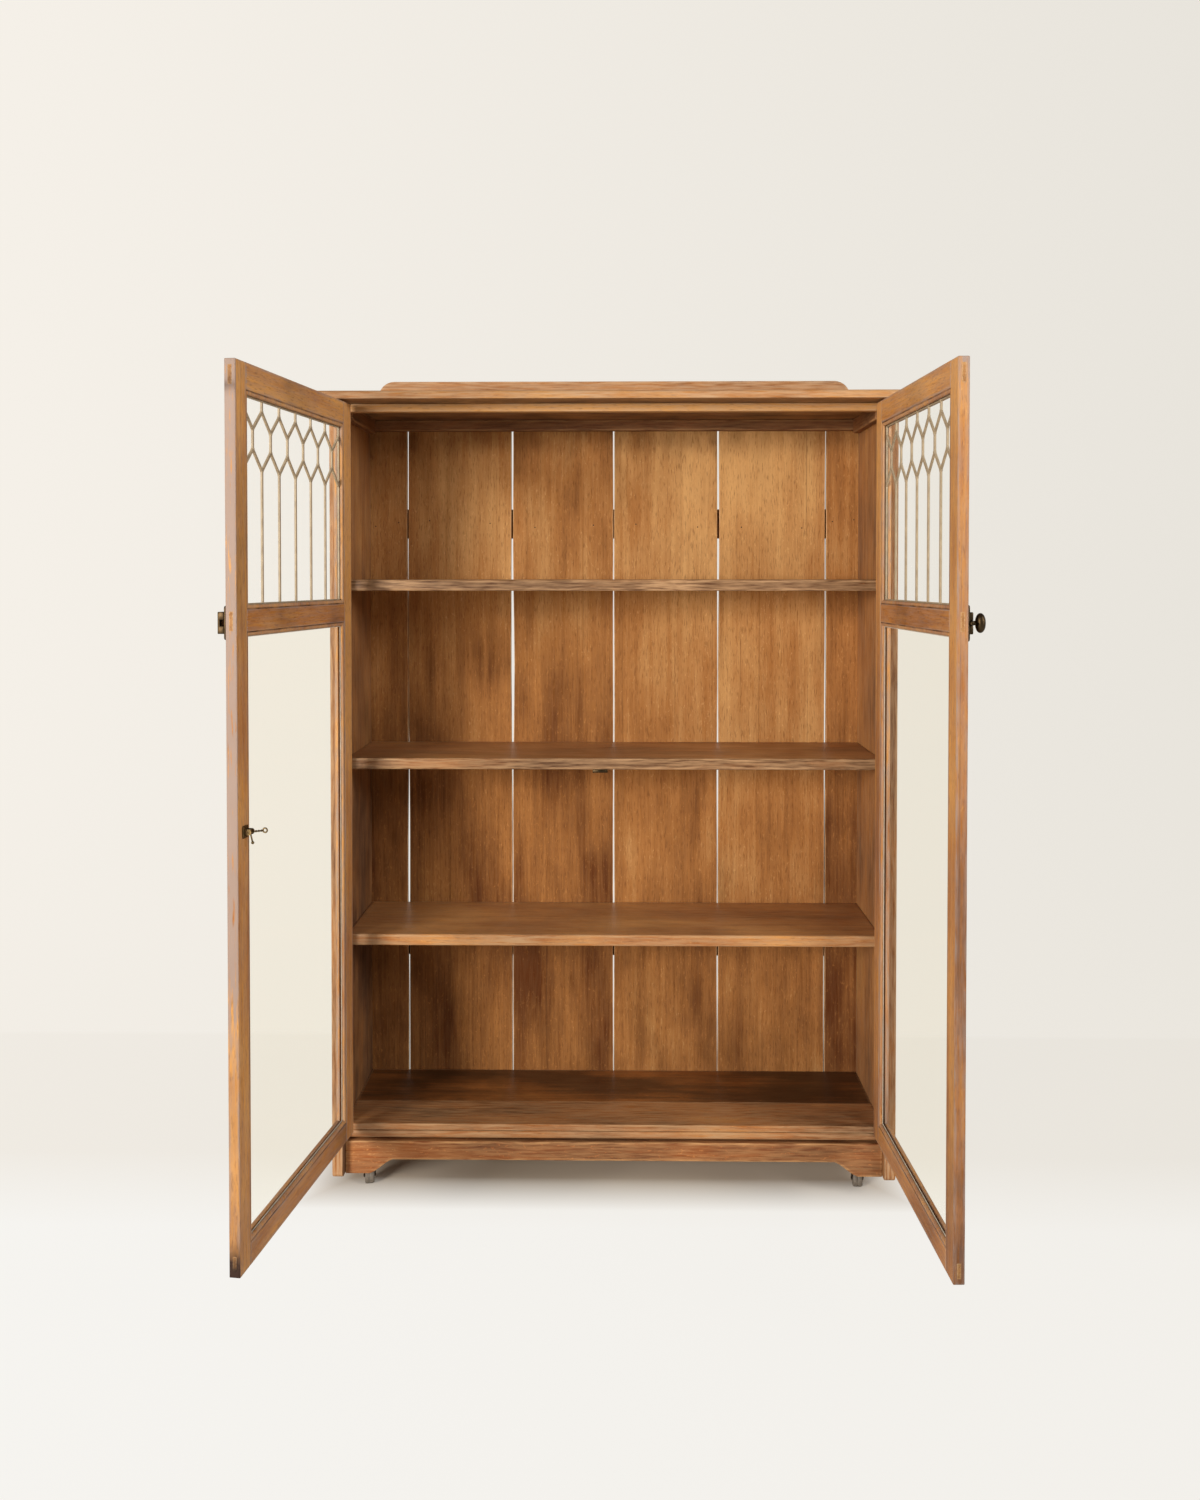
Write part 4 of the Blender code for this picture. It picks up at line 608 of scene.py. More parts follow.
for hand in HANDS:
    place, body, tone = door_place[hand], hand + "_door", DOOR_TONES[hand]
    hinge_low, hinge_high = door_box(hand, hand + "_hinge_stile")
    meet_low, meet_high = door_box(hand, hand + "_meeting_stile")
    thick, free_edge = hinge_high.y, meet_high.x - 0.0005
    rails = {}
    for name in ("top_rail", "middle_rail", "bottom_rail"):
        rails[name] = [corner.z for corner in door_box(hand, f"{hand}_{name}")]
    left, right = hinge_high.x, meet_low.x
    lights[hand] = {
        "upper": (left, right, rails["middle_rail"][1], rails["top_rail"][0]),
        "lower": (left, right, rails["bottom_rail"][1], rails["middle_rail"][0]),
    }
    for name, low, high, inner in (
        ("hinge_stile", hinge_low, hinge_high, 1), ("meeting_stile", meet_low, meet_high, -1),
    ):
        near, far = (low.x, high.x) if inner == 1 else (high.x, low.x)
        outline = [
            (near, 0.0), (far, 0.0), (far, SEAT_DEPTH), (far - inner * BEAD, SEAT_DEPTH),
            (far - inner * BEAD, thick), (near, thick),
        ]
        shape = prism([(x, y, low.z) for x, y in outline], (0.0, 0.0, high.z - low.z))
        cut(shape, Z, evenly(low.z, high.z, 24))
        cut(shape, Z, evenly(low.z, low.z + STILE_FOOT, 5) + evenly(high.z - STILE_HEAD, high.z, 6))
        wear, grime = wander(0.4, 0.3), wander(0.7, 0.3)
        stile = board(
            f"{hand}_{name}_oak", shape, Z, DOOR_OAK, tone=tone, rubs=0.35, place=place,
            lift=lambda p: slide(STILE_LIGHT_AND_SHADE, p.z) + FREE_EDGE_SHADE[hand] * (p.x > free_edge),
            bare=lambda p: (
                slide(FREE_EDGE_BARE[hand], p.z) + wear(p.z) + 0.8 * (p.z > high.z - STILE_HEAD / 2)
                if p.x > free_edge else 0.9 * (abs(p.x - far) < NEAR)
            ),
            soil_and_shade=lambda p: slide(FREE_EDGE_SOIL_AND_SHADE[hand], p.z) if p.x > free_edge else grime(p.z),
        )
        fit(stile, body, "oak", f"{hand}_{name}")
    for name, (foot, head) in rails.items():
        below = 0.0 if name == "bottom_rail" else BEAD
        above = 0.0 if name == "top_rail" else BEAD
        shape = rebated_rail(left, right, foot, head, thick, below, above)
        cut(shape, X, evenly(left, right, 10))
        grime = wander(0.25, 0.35)
        rail = board(
            f"{hand}_{name}_oak", shape, X, DOOR_OAK, arris=0.0009, tone=tone + RAIL_LIFT[name], rubs=0.35,
            place=place, soil_and_shade=lambda p: grime(p.x),
        )
        fit(rail, body, "oak", f"{hand}_{name}")
        tenon = box_shape(
            (meet_high.x - TENON_SHOWN, TENON_FRONT, foot + TENON_SHOULDER),
            (meet_high.x + TENON_PROUD, TENON_BACK, head - TENON_SHOULDER),
        )
        end = board(
            f"{hand}_{name}_tenon", tenon, X, END_GRAIN, arris=0.0004, rubs=0.2, place=place,
            soil_and_shade=lambda p: slide(FREE_EDGE_SOIL_AND_SHADE[hand], p.z),
        )
        fit(end, body, "oak")
    for level, light in lights[hand].items():
        left, right, foot, head = light
        seat, face = BEAD_SEATS[level], thick - BEAD_SETBACK
        ring = strip_ring(left - BEAD, right + BEAD, foot - BEAD, head + BEAD, BEAD, seat, face)
        inside = edges_at(ring, lambda p: p.y > face - TOUCHING and near_light(light, BEAD / 2, p))
        round_edges(ring, inside, (face - seat) * 0.6, 4)
        bead = board(
            f"{hand}_{level}_bead", ring, Z, DOOR_OAK, arris=0.0004, tone=tone, place=place,
            soil_and_shade=lambda p: 0.0 if near_light(light, SEAM, p) else 1.2,
        )
        fit(bead, body, "oak")


# Lower glass: one sheet of old drawn glass in each door, clear, faintly green and not quite flat, with a
# fine line of old putty left along its edges.
CLEARNESS = 0.985


def glass(name, tint, ripple_mm):
    """Old window glass: a slow ripple bends what it mirrors. It is clean and the room is bright, so most of
    it only lets light through, and lamps shine through it whole."""
    finish, tree, shader = new_finish(name, 0.12)
    shader.inputs["Base Color"].default_value = linear(tint)
    shader.inputs["IOR"].default_value = 1.5
    shader.inputs["Transmission Weight"].default_value = 1.0
    shader.inputs["Specular IOR Level"].default_value = 0.06
    place = add(tree, "TexCoord").outputs["Object"]
    ripple = add(tree, "TexNoise", {"Vector": place, "Scale": 1000 / ripple_mm, "Detail": 1.0})
    bump = add(tree, "Bump", {"Strength": 0.06, "Distance": 0.002, "Height": ripple.outputs[0]})
    tree.links.new(bump.outputs[0], shader.inputs["Normal"])
    lit = add(tree, "BsdfTransparent", {"Color": linear(tint)})
    shade = add(tree, "LightPath").outputs["Is Shadow Ray"]
    passed = add(tree, "Math", {0: shade, 1: CLEARNESS}, operation="MAXIMUM").outputs[0]
    mixed = add(tree, "MixShader", {0: passed, 1: shader.outputs[0], 2: lit.outputs[0]})
    tree.links.new(mixed.outputs[0], tree.nodes["Material Output"].inputs["Surface"])
    return finish


def mottled(name, dark, light, spot_mm, roughness, metallic=0.0):
    """An old skin of two colours in soft uneven spots, dented a little by the same spots."""
    finish, tree, shader = new_finish(name, roughness, metallic)
    place = add(tree, "TexCoord").outputs["Object"]
    stain = add(tree, "TexNoise", {"Vector": place, "Scale": 1000 / spot_mm, "Detail": 5.0})
    skin = add(tree, "Mix", {0: stain.outputs[0], 6: linear(dark), 7: linear(light)}, data_type="RGBA")
    tree.links.new(skin.outputs[2], shader.inputs["Base Color"])
    bump = add(tree, "Bump", {"Strength": 0.25, "Distance": 0.0003, "Height": stain.outputs[0]})
    tree.links.new(bump.outputs[0], shader.inputs["Normal"])
    return finish


SHEET_GLASS = glass("drawn_sheet_glass", "FFFEFA", 140)
PUTTY = mottled("grey_putty", "8F8270", "CFC6B6", 8, 0.9)      # dull, dry and grey-white
PUTTY_WIDTH, PUTTY_THICK = 0.0016, 0.0010
for hand in HANDS:
    low, high = door_box(hand, hand + "_lower_glass")
    shape = box_shape(low, high)
    round_edges(shape, shape.edges[:], 0.0004, 1)
    sheet = place_piece(hand + "_sheet_glass", shape, SHEET_GLASS, door_place[hand], smooth=False)
    fit(sheet, hand + "_door", "window_glass", hand + "_lower_glass")
    shape = strip_ring(*lights[hand]["lower"], PUTTY_WIDTH, high.y, high.y + PUTTY_THICK)
    putty = place_piece(hand + "_putty_line", shape, PUTTY, door_place[hand], smooth=False)
    fit(putty, hand + "_door", "oak_worn")


# Leaded lights: clear panes held in a net of lead cames, soldered where they meet. The panes sit at slightly
# different angles, so each one catches the light by itself.
COLUMNS = 6
NET_FALLS = (0.0177, 0.0483, 0.0788, 0.1103)    # top, shoulder, hip and foot of the hexagons
CAME_WIDTH, CAME_THICK, CAME_CROWN = 0.0046, 0.0030, 0.0009
PANE_THICK, PANE_TILT = 0.002, 0.35             # the tilt in degrees
SMALLEST_PANE = 0.0004                          # square metres; smaller faces are rims
LEAD_DEPTH = 0.0093                             # outer face of the door to the middle of the panel
SOLDER_RADIUS, SOLDER_RISE = 0.0032, 0.0028
ON_Y = Matrix.Rotation(math.pi / 2, 4, "X")     # lays a turned shape along the depth


def turned(profile, place=Matrix(), steps=24):
    """A shape turned on a lathe: its profile, as (radius, height), goes round the height axis."""
    shape = bmesh.new()
    verts = [shape.verts.new((radius, 0.0, height)) for radius, height in profile]
    edges = [shape.edges.new(pair) for pair in zip(verts, verts[1:])]
    bmesh.ops.spin(
        shape, geom=verts + edges, cent=(0, 0, 0), axis=(0, 0, 1), angle=2 * math.pi, steps=steps,
        use_merge=True,
    )
    bmesh.ops.remove_doubles(shape, verts=shape.verts, dist=0.00002)
    bmesh.ops.recalc_face_normals(shape, faces=shape.faces)
    shape.transform(place)
    return shape


def join(shapes):
    """One shape of several."""
    whole = bmesh.new()
    for shape in shapes:
        carrier = bpy.data.meshes.new("carrier")
        shape.to_mesh(carrier)
        shape.free()
        whole.from_mesh(carrier)
        bpy.data.meshes.remove(carrier)
    return whole


def pane_faces(shape, left, right, foot, head):
    """One face for each pane, in the plane of the panel."""
    column = (right - left) / COLUMNS
    top, shoulder, hip, hexagon_foot = (head - fall for fall in NET_FALLS)
    outlines = []
    for number in range(COLUMNS):
        a, c = left + number * column, left + (number + 1) * column
        b = (a + c) / 2
        outlines.append([(a, head), (a, top), (b, shoulder), (c, top), (c, head)])
        outlines.append([(b, hip), (a, hexagon_foot), (a, foot), (c, foot), (c, hexagon_foot)])
    for number in range(COLUMNS + 1):
        b = left + number * column
        a, c = max(b - column / 2, left), min(b + column / 2, right)
        hexagon = [(b, top), (a, shoulder), (a, hip), (b, hexagon_foot), (c, hip), (c, shoulder)]
        if number == 0:
            hexagon = [hexagon[0]] + hexagon[3:]
        if number == COLUMNS:
            hexagon = hexagon[:4]
        outlines.append(hexagon)
    for outline in outlines:
        shape.faces.new([shape.verts.new((x, LEAD_DEPTH, z)) for x, z in outline])
    shape.normal_update()


LEAD = mottled("dull_lead", "786751", "B4A388", 14, 0.6)      # its skin of oxide is a dull grey-brown
PANE_GLASS = glass("small_pane_glass", "FFFFFE", 60)
for hand in HANDS:
    left, right, foot, head = lights[hand]["upper"]
    net = bmesh.new()
    pane_faces(net, left, right, foot, head)
    panes = net.copy()
    bmesh.ops.remove_doubles(net, verts=net.verts, dist=0.0001)
    nodes_of_net = set(net.verts)
    meetings = [vert.co.copy() for vert in net.verts if left + NEAR < vert.co.x < right - NEAR]
    pane_list = net.faces[:]
    bmesh.ops.inset_individual(net, faces=pane_list, thickness=CAME_WIDTH / 2, use_even_offset=True)
    bmesh.ops.delete(net, geom=pane_list, context="FACES_ONLY")
    top_side = set(draw_out(net, net.faces[:], (0.0, 0.0, 0.0)))
    for vert in net.verts:
        way = 1 if vert in top_side else -1
        middle = vert in nodes_of_net or any(
            edge.other_vert(vert) in nodes_of_net and (edge.other_vert(vert).co - vert.co).length < TOUCHING
            for edge in vert.link_edges
        )
        vert.co.y += way * (CAME_THICK / 2 + (CAME_CROWN if middle else 0.0))
    cames = place_piece(hand + "_lead_cames", net, LEAD, door_place[hand])
    fit(cames, hand + "_door", "leaded_glass", hand + "_leaded_light")

    blobs = []
    for meeting in meetings:
        size = SOLDER_RADIUS * chance.uniform(0.85, 1.15)
        profile = [
            (0.0, -SOLDER_RISE), (size * 0.7, -SOLDER_RISE * 0.8), (size, 0.0),
            (size * 0.7, SOLDER_RISE * 0.8), (0.0, SOLDER_RISE),
        ]
        blobs.append(turned(profile, Matrix.Translation(meeting) @ ON_Y, 12))
    solder = place_piece(hand + "_solder_joints", join(blobs), LEAD, door_place[hand])
    fit(solder, hand + "_door", "leaded_glass")

    bmesh.ops.inset_individual(panes, faces=panes.faces[:], thickness=CAME_WIDTH / 5, use_even_offset=True)
    rims = [face for face in panes.faces if len(face.verts) <= 4 and face.calc_area() <= SMALLEST_PANE]
    bmesh.ops.delete(panes, geom=rims, context="FACES")
    for face in panes.faces[:]:
        tilt = Matrix.Rotation(math.radians(chance.uniform(-PANE_TILT, PANE_TILT)), 4, "X")
        tilt = tilt @ Matrix.Rotation(math.radians(chance.uniform(-PANE_TILT, PANE_TILT)), 4, "Z")
        bmesh.ops.rotate(panes, verts=face.verts, cent=face.calc_center_median(), matrix=tilt)
    draw_out(panes, panes.faces[:], (0.0, PANE_THICK, 0.0))
    bmesh.ops.translate(panes, verts=panes.verts, vec=(0.0, -PANE_THICK / 2, 0.0))
    clear = place_piece(hand + "_leaded_panes", panes, PANE_GLASS, door_place[hand], smooth=False)
    fit(clear, hand + "_door", "leaded_glass", hand + "_leaded_light")


# Hinges: four butts of brass gone dark brown, let into the sides and the doors' edges, each leaf held by
# three slotted screws. The fixed leaf has the two outer knuckles and the pin, the door's leaf the middle one.
def aimed(start, end):
    """A place at a point, whose height axis points at another."""
    way = Vector(end) - Vector(start)
    return Matrix.Translation(start) @ way.to_track_quat("Z", "Y").to_matrix().to_4x4()


def bar(start, end, radius, chamfer=0.0003, steps=20):
    """A round bar with broken ends."""
    length = (Vector(end) - Vector(start)).length
    profile = [
        (0.0, 0.0), (radius - chamfer, 0.0), (radius, chamfer), (radius, length - chamfer),
        (radius - chamfer, length), (0.0, length),
    ]
    return turned(profile, aimed(start, end), steps)


def plate(low, high, thin, corner):
    """A flat plate with round corners and broken edges; thin is the axis through it."""
    shape = box_shape(low, high)
    uprights = [edge for edge in shape.edges if abs((edge.verts[0].co - edge.verts[1].co)[thin]) > 0.00001]
    round_edges(shape, uprights, corner, 4)
    round_edges(shape, sharp_edges(shape), 0.0003, 1)
    return shape


def screw(point, way, radius=0.0022):
    """A slotted screw head, a hair above the plate that it holds."""
    profile = [(0.0, -0.0004), (radius * 0.8, -0.0004), (radius, 0.0), (radius * 0.85, 0.0004), (0.0, 0.0005)]
    head = turned(profile, steps=16)
    slot = radius * 0.16
    cut(head, X, [-slot, slot])
    strip = [face for face in head.faces if face.normal.z > 0.5 and abs(face.calc_center_median().x) < slot]
    extrude(head, strip, (0.0, 0.0, -0.0004))
    turn = Matrix.Rotation(chance.uniform(0.0, math.pi), 4, "Z")
    head.transform(aimed(point, Vector(point) + Vector(way)) @ turn)
    return head


BRASS = mottled("dark_brass", "1E1710", "54442F", 9, 0.45, 1.0)     # near black-brown, dull gold where rubbed
KNUCKLE, KNUCKLE_GAP, NECK_THICK, NECK_DEPTH = 0.0035, 0.0003, 0.0018, 0.002
LEAF_THICK, LEAF_WIDTH, LEAF_PROUD, LEAF_CORNER = 0.0022, 0.0160, 0.0002, 0.0008
SCREW_NEAR, SCREW_FAR, LEAF_SCREW = 0.006, 0.011, 0.0019     # two rows from the edge, and the head's radius
for hand, sign in HANDS.items():
    pin_x, pin_y, _ = joints[hand + "_door_hinge"]["pos_m"]
    wall = inside_left if hand == "left" else inside_right
    for level in ("lower", "upper"):
        node = f"hinge_leaf_side_{hand}_{level}"
        low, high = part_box(node)
        third = (high.z - low.z) / 3
        bed, face = wall - sign * LEAF_THICK, wall + sign * LEAF_PROUD
        parts = [plate((bed, side_front, low.z), (face, side_front + LEAF_WIDTH, high.z), X, LEAF_CORNER)]
        for start in (low.z, low.z + 2 * third):
            end = start + third - KNUCKLE_GAP
            parts.append(bar((pin_x, pin_y, start), (pin_x, pin_y, end), KNUCKLE))
            neck = wall - sign * NECK_THICK
            parts.append(box_shape((neck, pin_y, start), (wall, side_front + NECK_DEPTH, end)))
        for number, across in enumerate((SCREW_NEAR, SCREW_FAR, SCREW_NEAR)):
            point = (face, side_front + across, low.z + third * (number + 0.5))
            parts.append(screw(point, (sign, 0.0, 0.0), LEAF_SCREW))
        leaf = place_piece(f"hinge_{hand}_{level}_fixed_leaf", join(parts), BRASS)
        fit(leaf, "carcase", "dark_bronze", node)

        foot, head = low.z + third + KNUCKLE_GAP, low.z + 2 * third - KNUCKLE_GAP
        axis = (-PIN_TO_EDGE, -PIN_TO_FACE)
        parts = [plate((-LEAF_PROUD, 0.0, low.z), (LEAF_THICK, LEAF_WIDTH, high.z), X, LEAF_CORNER)]
        parts.append(bar((*axis, foot), (*axis, head), KNUCKLE))
        parts.append(box_shape((0.0, -PIN_TO_FACE, foot), (NECK_THICK, NECK_DEPTH, head)))
        # These heads stand clear of the fixed leaf's when the door is shut.
        for number, across in enumerate((SCREW_FAR, SCREW_NEAR, SCREW_FAR)):
            point = (-LEAF_PROUD, across, low.z + third * (number + 0.5))
            parts.append(screw(point, (-1.0, 0.0, 0.0), LEAF_SCREW))
        leaf = place_piece(f"hinge_{hand}_{level}_door_leaf", join(parts), BRASS, door_place[hand])
        fit(leaf, hand + "_door", "dark_bronze", f"hinge_leaf_door_{hand}_{level}")

# Latch: a brass plate screwed to the right door's outer face, with two thick guides that a bolt slides
# between, worked by an oval knob; and on the left door a keeper that the bolt shoots into.
PLATE_OUT, PLATE_CORNER = -0.0033, 0.005
PLATE_SCREW_INSET, PLATE_SCREW_RISE = 0.006, 0.0222
GUIDE_OUT, GUIDE_INSET, GUIDE_HALF, GUIDE_ROUND = -0.0098, 0.004, 0.0165, 0.0016
SLOT_HALF = 0.0036             # half the height between the guides
BOLT_NOSE, BOLT_ARRIS = 0.0014, 0.0004
ROSE_RADIUS, NECK_RADIUS = 0.007, 0.0034
KNOB_HALF = (0.009, 0.015, 0.0075)      # half its width, its height and its depth
KNOB_STEPS = 12
KEEPER_HALF, KEEPER_SLOT, KEEPER_ROUND, KEEPER_CORNER = 0.0165, 0.0045, 0.0010, 0.004
KEEPER_SCREW_RISE = 0.0210
SLOT_OUT = -0.0100             # how far out the keeper's slot reaches
OUT = (0.0, -1.0, 0.0)

low, high = door_box("right", "right_latch_plate")
latch_z, knob_run = (low.z + high.z) / 2, (low.x + high.x) / 2
parts = [plate((low.x, PLATE_OUT, low.z), (high.x, high.y, high.z), Y, PLATE_CORNER)]
for way in (-1, 1):
    guide = box_shape(
        (low.x + GUIDE_INSET, GUIDE_OUT, latch_z + way * SLOT_HALF),
        (high.x - GUIDE_INSET, PLATE_OUT + 0.001, latch_z + way * GUIDE_HALF),
    )
    round_edges(guide, sharp_edges(guide), GUIDE_ROUND, 3)
    parts.append(guide)
    for run in (low.x + PLATE_SCREW_INSET, high.x - PLATE_SCREW_INSET):
        parts.append(screw((run, PLATE_OUT, latch_z + way * PLATE_SCREW_RISE), OUT))
latch = place_piece("latch_plate_brass", join(parts), BRASS, door_place["right"])
fit(latch, "right_door", "dark_bronze", "right_latch_plate")

low, high = door_box("right", "right_latch_bolt")
shape = box_shape(low, high)
round_edges(shape, edges_at(shape, lambda p: p.x > high.x - TOUCHING), BOLT_NOSE, 2)
round_edges(shape, sharp_edges(shape), BOLT_ARRIS, 1)
bolt = place_piece("latch_bolt_brass", shape, BRASS, door_place["right"])
fit(bolt, "latch_bolt", "dark_bronze", "right_latch_bolt")

low, high = door_box("right", "latch_knob")
rose_foot = -GUIDE_OUT + 0.0004
profile = [
    (0.0, rose_foot), (ROSE_RADIUS, rose_foot), (ROSE_RADIUS, rose_foot + 0.0012),
    (0.0052, rose_foot + 0.0020), (NECK_RADIUS, rose_foot + 0.0030), (NECK_RADIUS, rose_foot + 0.0070),
    (0.0, rose_foot + 0.0072),
]
outwards = Matrix.Translation((knob_run, 0.0, latch_z)) @ ON_Y
parts = [turned(profile, outwards, 32)]
profile = []
for step in range(KNOB_STEPS + 1):
    angle = math.pi * step / KNOB_STEPS
    profile.append((math.sin(angle) ** 0.8, -math.cos(angle)))
swell = Matrix.Translation((0.0, 0.0, -low.y - KNOB_HALF[2])) @ Matrix.Diagonal((*KNOB_HALF, 1.0))
parts.append(turned(profile, outwards @ swell, 40))
knob = place_piece("latch_knob_brass", join(parts), BRASS, door_place["right"])
fit(knob, "latch_knob", "dark_bronze", "latch_knob")

low, high = door_box("left", "left_latch_keeper")
outline = [
    (PLATE_OUT, -KEEPER_HALF), (low.y, -KEEPER_HALF), (low.y, KEEPER_HALF), (PLATE_OUT, KEEPER_HALF),
    (PLATE_OUT, KEEPER_SLOT), (SLOT_OUT, KEEPER_SLOT), (SLOT_OUT, -KEEPER_SLOT), (PLATE_OUT, -KEEPER_SLOT),
]
start, end = low.x + GUIDE_INSET, high.x - 0.0004
shape = prism([(start, depth, latch_z + height) for depth, height in outline], (end - start, 0.0, 0.0))
round_edges(shape, sharp_edges(shape), KEEPER_ROUND, 2)
parts = [shape, plate((low.x, PLATE_OUT, low.z), (high.x, high.y, high.z), Y, KEEPER_CORNER)]
for way in (-1, 1):
    parts.append(screw(((low.x + high.x) / 2, PLATE_OUT, latch_z + way * KEEPER_SCREW_RISE), OUT))
keeper = place_piece("latch_keeper_brass", join(parts), BRASS, door_place["left"])
fit(keeper, "left_door", "dark_bronze", "left_latch_keeper")

# Catch: a small brass clevis screwed inside the left door carries a lever of twisted wire, which ends in a
# ring above and a ball below; the ring hooks behind a bent strip under the middle shelf.
BASE_THICK, BASE_CORNER, BASE_SCREW, BASE_SCREW_RISE = 0.002, 0.003, 0.0016, 0.0070
CHEEK, CHEEK_HALF, CHEEK_ROUND, PIN_RADIUS, PIN_PROUD = 0.0025, 0.0045, 0.004, 0.0014, 0.0007
HUB, HUB_HALF, HUB_PLAY, WIRE, WIRE_SUNK = 0.0038, 0.0035, 0.0003, 0.0012, 0.0006
RING_REACH, RING_RISE, RING_RADIUS = 0.0237, 0.003, 0.0033
THUMB, BALL_RADIUS = (0.0, 0.004, -0.0164), 0.0024
TWISTS, TWIST_STEPS = 2, 36
ON_X = Matrix.Rotation(math.pi / 2, 4, "Y")     # lays a turned shape along the width
RUBBED_BRASS = mottled("rubbed_brass", "2E2418", "8C7650", 5, 0.45, 1.0)     # fingers keep it brighter
low, high = door_box("left", "left_catch_base")
pivot = door_place["left"].inverted() @ Vector(joints["catch_lever_pivot"]["pos_m"])
face = low.y + BASE_THICK
parts = [plate(low, (high.x, face, high.z), Y, BASE_CORNER)]
for way in (-1, 1):
    inner = pivot.x + way * (HUB_HALF + 0.0004)
    ear = box_shape(
        (inner, face - 0.001, pivot.z - CHEEK_HALF), (inner + way * CHEEK, high.y, pivot.z + CHEEK_HALF),
    )
    ends = [
        edge for edge in edges_at(ear, lambda p: p.y > high.y - TOUCHING)
        if abs(edge.verts[0].co.z - edge.verts[1].co.z) < TOUCHING
    ]
    round_edges(ear, ends, CHEEK_ROUND, 5)
    parts.append(ear)
    parts.append(screw((pivot.x, face, pivot.z + way * BASE_SCREW_RISE), (0.0, 1.0, 0.0), BASE_SCREW))
reach = HUB_HALF + CHEEK + PIN_PROUD
parts.append(bar(pivot - Vector((reach, 0.0, 0.0)), pivot + Vector((reach, 0.0, 0.0)), PIN_RADIUS))
base = place_piece("catch_base_brass", join(parts), RUBBED_BRASS, door_place["left"])
fit(base, "left_door", "dark_bronze", "left_catch_base")

ring_centre = Vector((0.0, RING_REACH, RING_RISE))
outwards = ring_centre.normalized()
bore = PIN_RADIUS + HUB_PLAY
hub_profile = [(bore, -HUB_HALF), (HUB, -HUB_HALF), (HUB, HUB_HALF), (bore, HUB_HALF)]
parts = [turned(hub_profile + hub_profile[:1], ON_X, 24)]
shank = (ring_centre - outwards * RING_RADIUS).length - HUB + WIRE_SUNK
for turn in (0.0, math.pi):
    wire = bmesh.new()
    strand = Matrix.Rotation(turn, 4, "Z") @ Matrix.Translation((WIRE * 0.7, 0.0, 0.0))
    circle = bmesh.ops.create_circle(wire, segments=8, radius=WIRE * 0.8, matrix=strand)["verts"]
    rim = list({edge for vert in circle for edge in vert.link_edges})
    bmesh.ops.spin(
        wire, geom=circle + rim, cent=(0, 0, 0), axis=(0, 0, 1), dvec=(0, 0, shank / TWIST_STEPS),
        angle=2 * math.pi * TWISTS, steps=TWIST_STEPS,
    )
    bmesh.ops.holes_fill(wire, edges=[edge for edge in wire.edges if edge.is_boundary])
    wire.transform(aimed(outwards * (HUB - WIRE_SUNK), ring_centre))
    parts.append(wire)
angles = [math.pi * step / 5 for step in range(11)]
loop = [(RING_RADIUS + WIRE * math.cos(angle), WIRE * math.sin(angle)) for angle in angles]
parts.append(turned(loop, Matrix.Translation(ring_centre) @ ON_X, 28))
parts.append(bar(Vector(THUMB).normalized() * (HUB - WIRE_SUNK), THUMB, WIRE, 0.0002, 10))
ball, place = bmesh.new(), Matrix.Translation(THUMB)
bmesh.ops.create_uvsphere(ball, u_segments=16, v_segments=10, radius=BALL_RADIUS, matrix=place)
parts.append(ball)
place = door_place["left"] @ Matrix.Translation(pivot)
lever = place_piece("catch_lever_brass", join(parts), RUBBED_BRASS, place)
fit(lever, "catch_lever", "dark_bronze", "catch_lever")

STRIKE_THICK, STRIKE_SCREW, STRIKE_SCREW_INSET = 0.0013, 0.0018, 0.005
low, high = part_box("catch_strike")
bend_y, bend_z = low.y + STRIKE_THICK, high.z - STRIKE_THICK
outline = [
    (low.y, high.z), (high.y, high.z), (high.y, bend_z), (bend_y, bend_z), (bend_y, low.z), (low.y, low.z),
]
shape = prism([(low.x, y, z) for y, z in outline], (high.x - low.x, 0.0, 0.0))
round_edges(shape, sharp_edges(shape), 0.0003, 1)
parts = [shape]
for x in (low.x + STRIKE_SCREW_INSET, high.x - STRIKE_SCREW_INSET):
    parts.append(screw((x, high.y - STRIKE_SCREW_INSET, bend_z), (0.0, 0.0, -1.0), STRIKE_SCREW))
strike = place_piece("catch_strike_brass", join(parts), BRASS)
fit(strike, "carcase", "dark_bronze", "catch_strike")

# Castors: forged iron horns that swivel under the castor rails, with turned hardwood wheels on riveted axles.
# Each trails behind its stem.
IRON = mottled("old_iron", "2B2520", "5C5046", 6, 0.6, 1.0)                   # dull brown-grey skin
WHEEL_WOOD = mottled("greyed_hardwood", "3E3831", "82786D", 5, 0.6)           # scuffed grey by floors
CUP_RADIUS, CUP_GAP, HORN_HALF, HORN_BEND = 0.0115, 0.0004, 0.0085, 0.032
CHEEK_THICK, EYE, AXLE, RIVET = 0.0022, 0.0045, 0.0022, 0.0012
WHEEL_HALF, WHEEL_RADIUS, WHEEL_PLAY, TRAIL = 0.009, 0.0165, 0.0004, 0.009
cup_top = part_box("castor_rail_left")[0].z - CUP_GAP
half = [                       # from the bore, over the wheel's face, to the middle of the tread
    (AXLE + WHEEL_PLAY, 0.0), (AXLE + WHEEL_PLAY, WHEEL_HALF), (0.0075, WHEEL_HALF),
    (0.0082, WHEEL_HALF - 0.001), (0.0122, WHEEL_HALF - 0.001), (0.0130, WHEEL_HALF), (0.0145, WHEEL_HALF),
    (WHEEL_RADIUS - 0.0004, WHEEL_HALF - 0.0018), (WHEEL_RADIUS, WHEEL_HALF - 0.003), (WHEEL_RADIUS, 0.0012),
    (WHEEL_RADIUS - 0.0006, 0.0),
]
wheel_profile = half + [(radius, -height) for radius, height in reversed(half[:-1])]
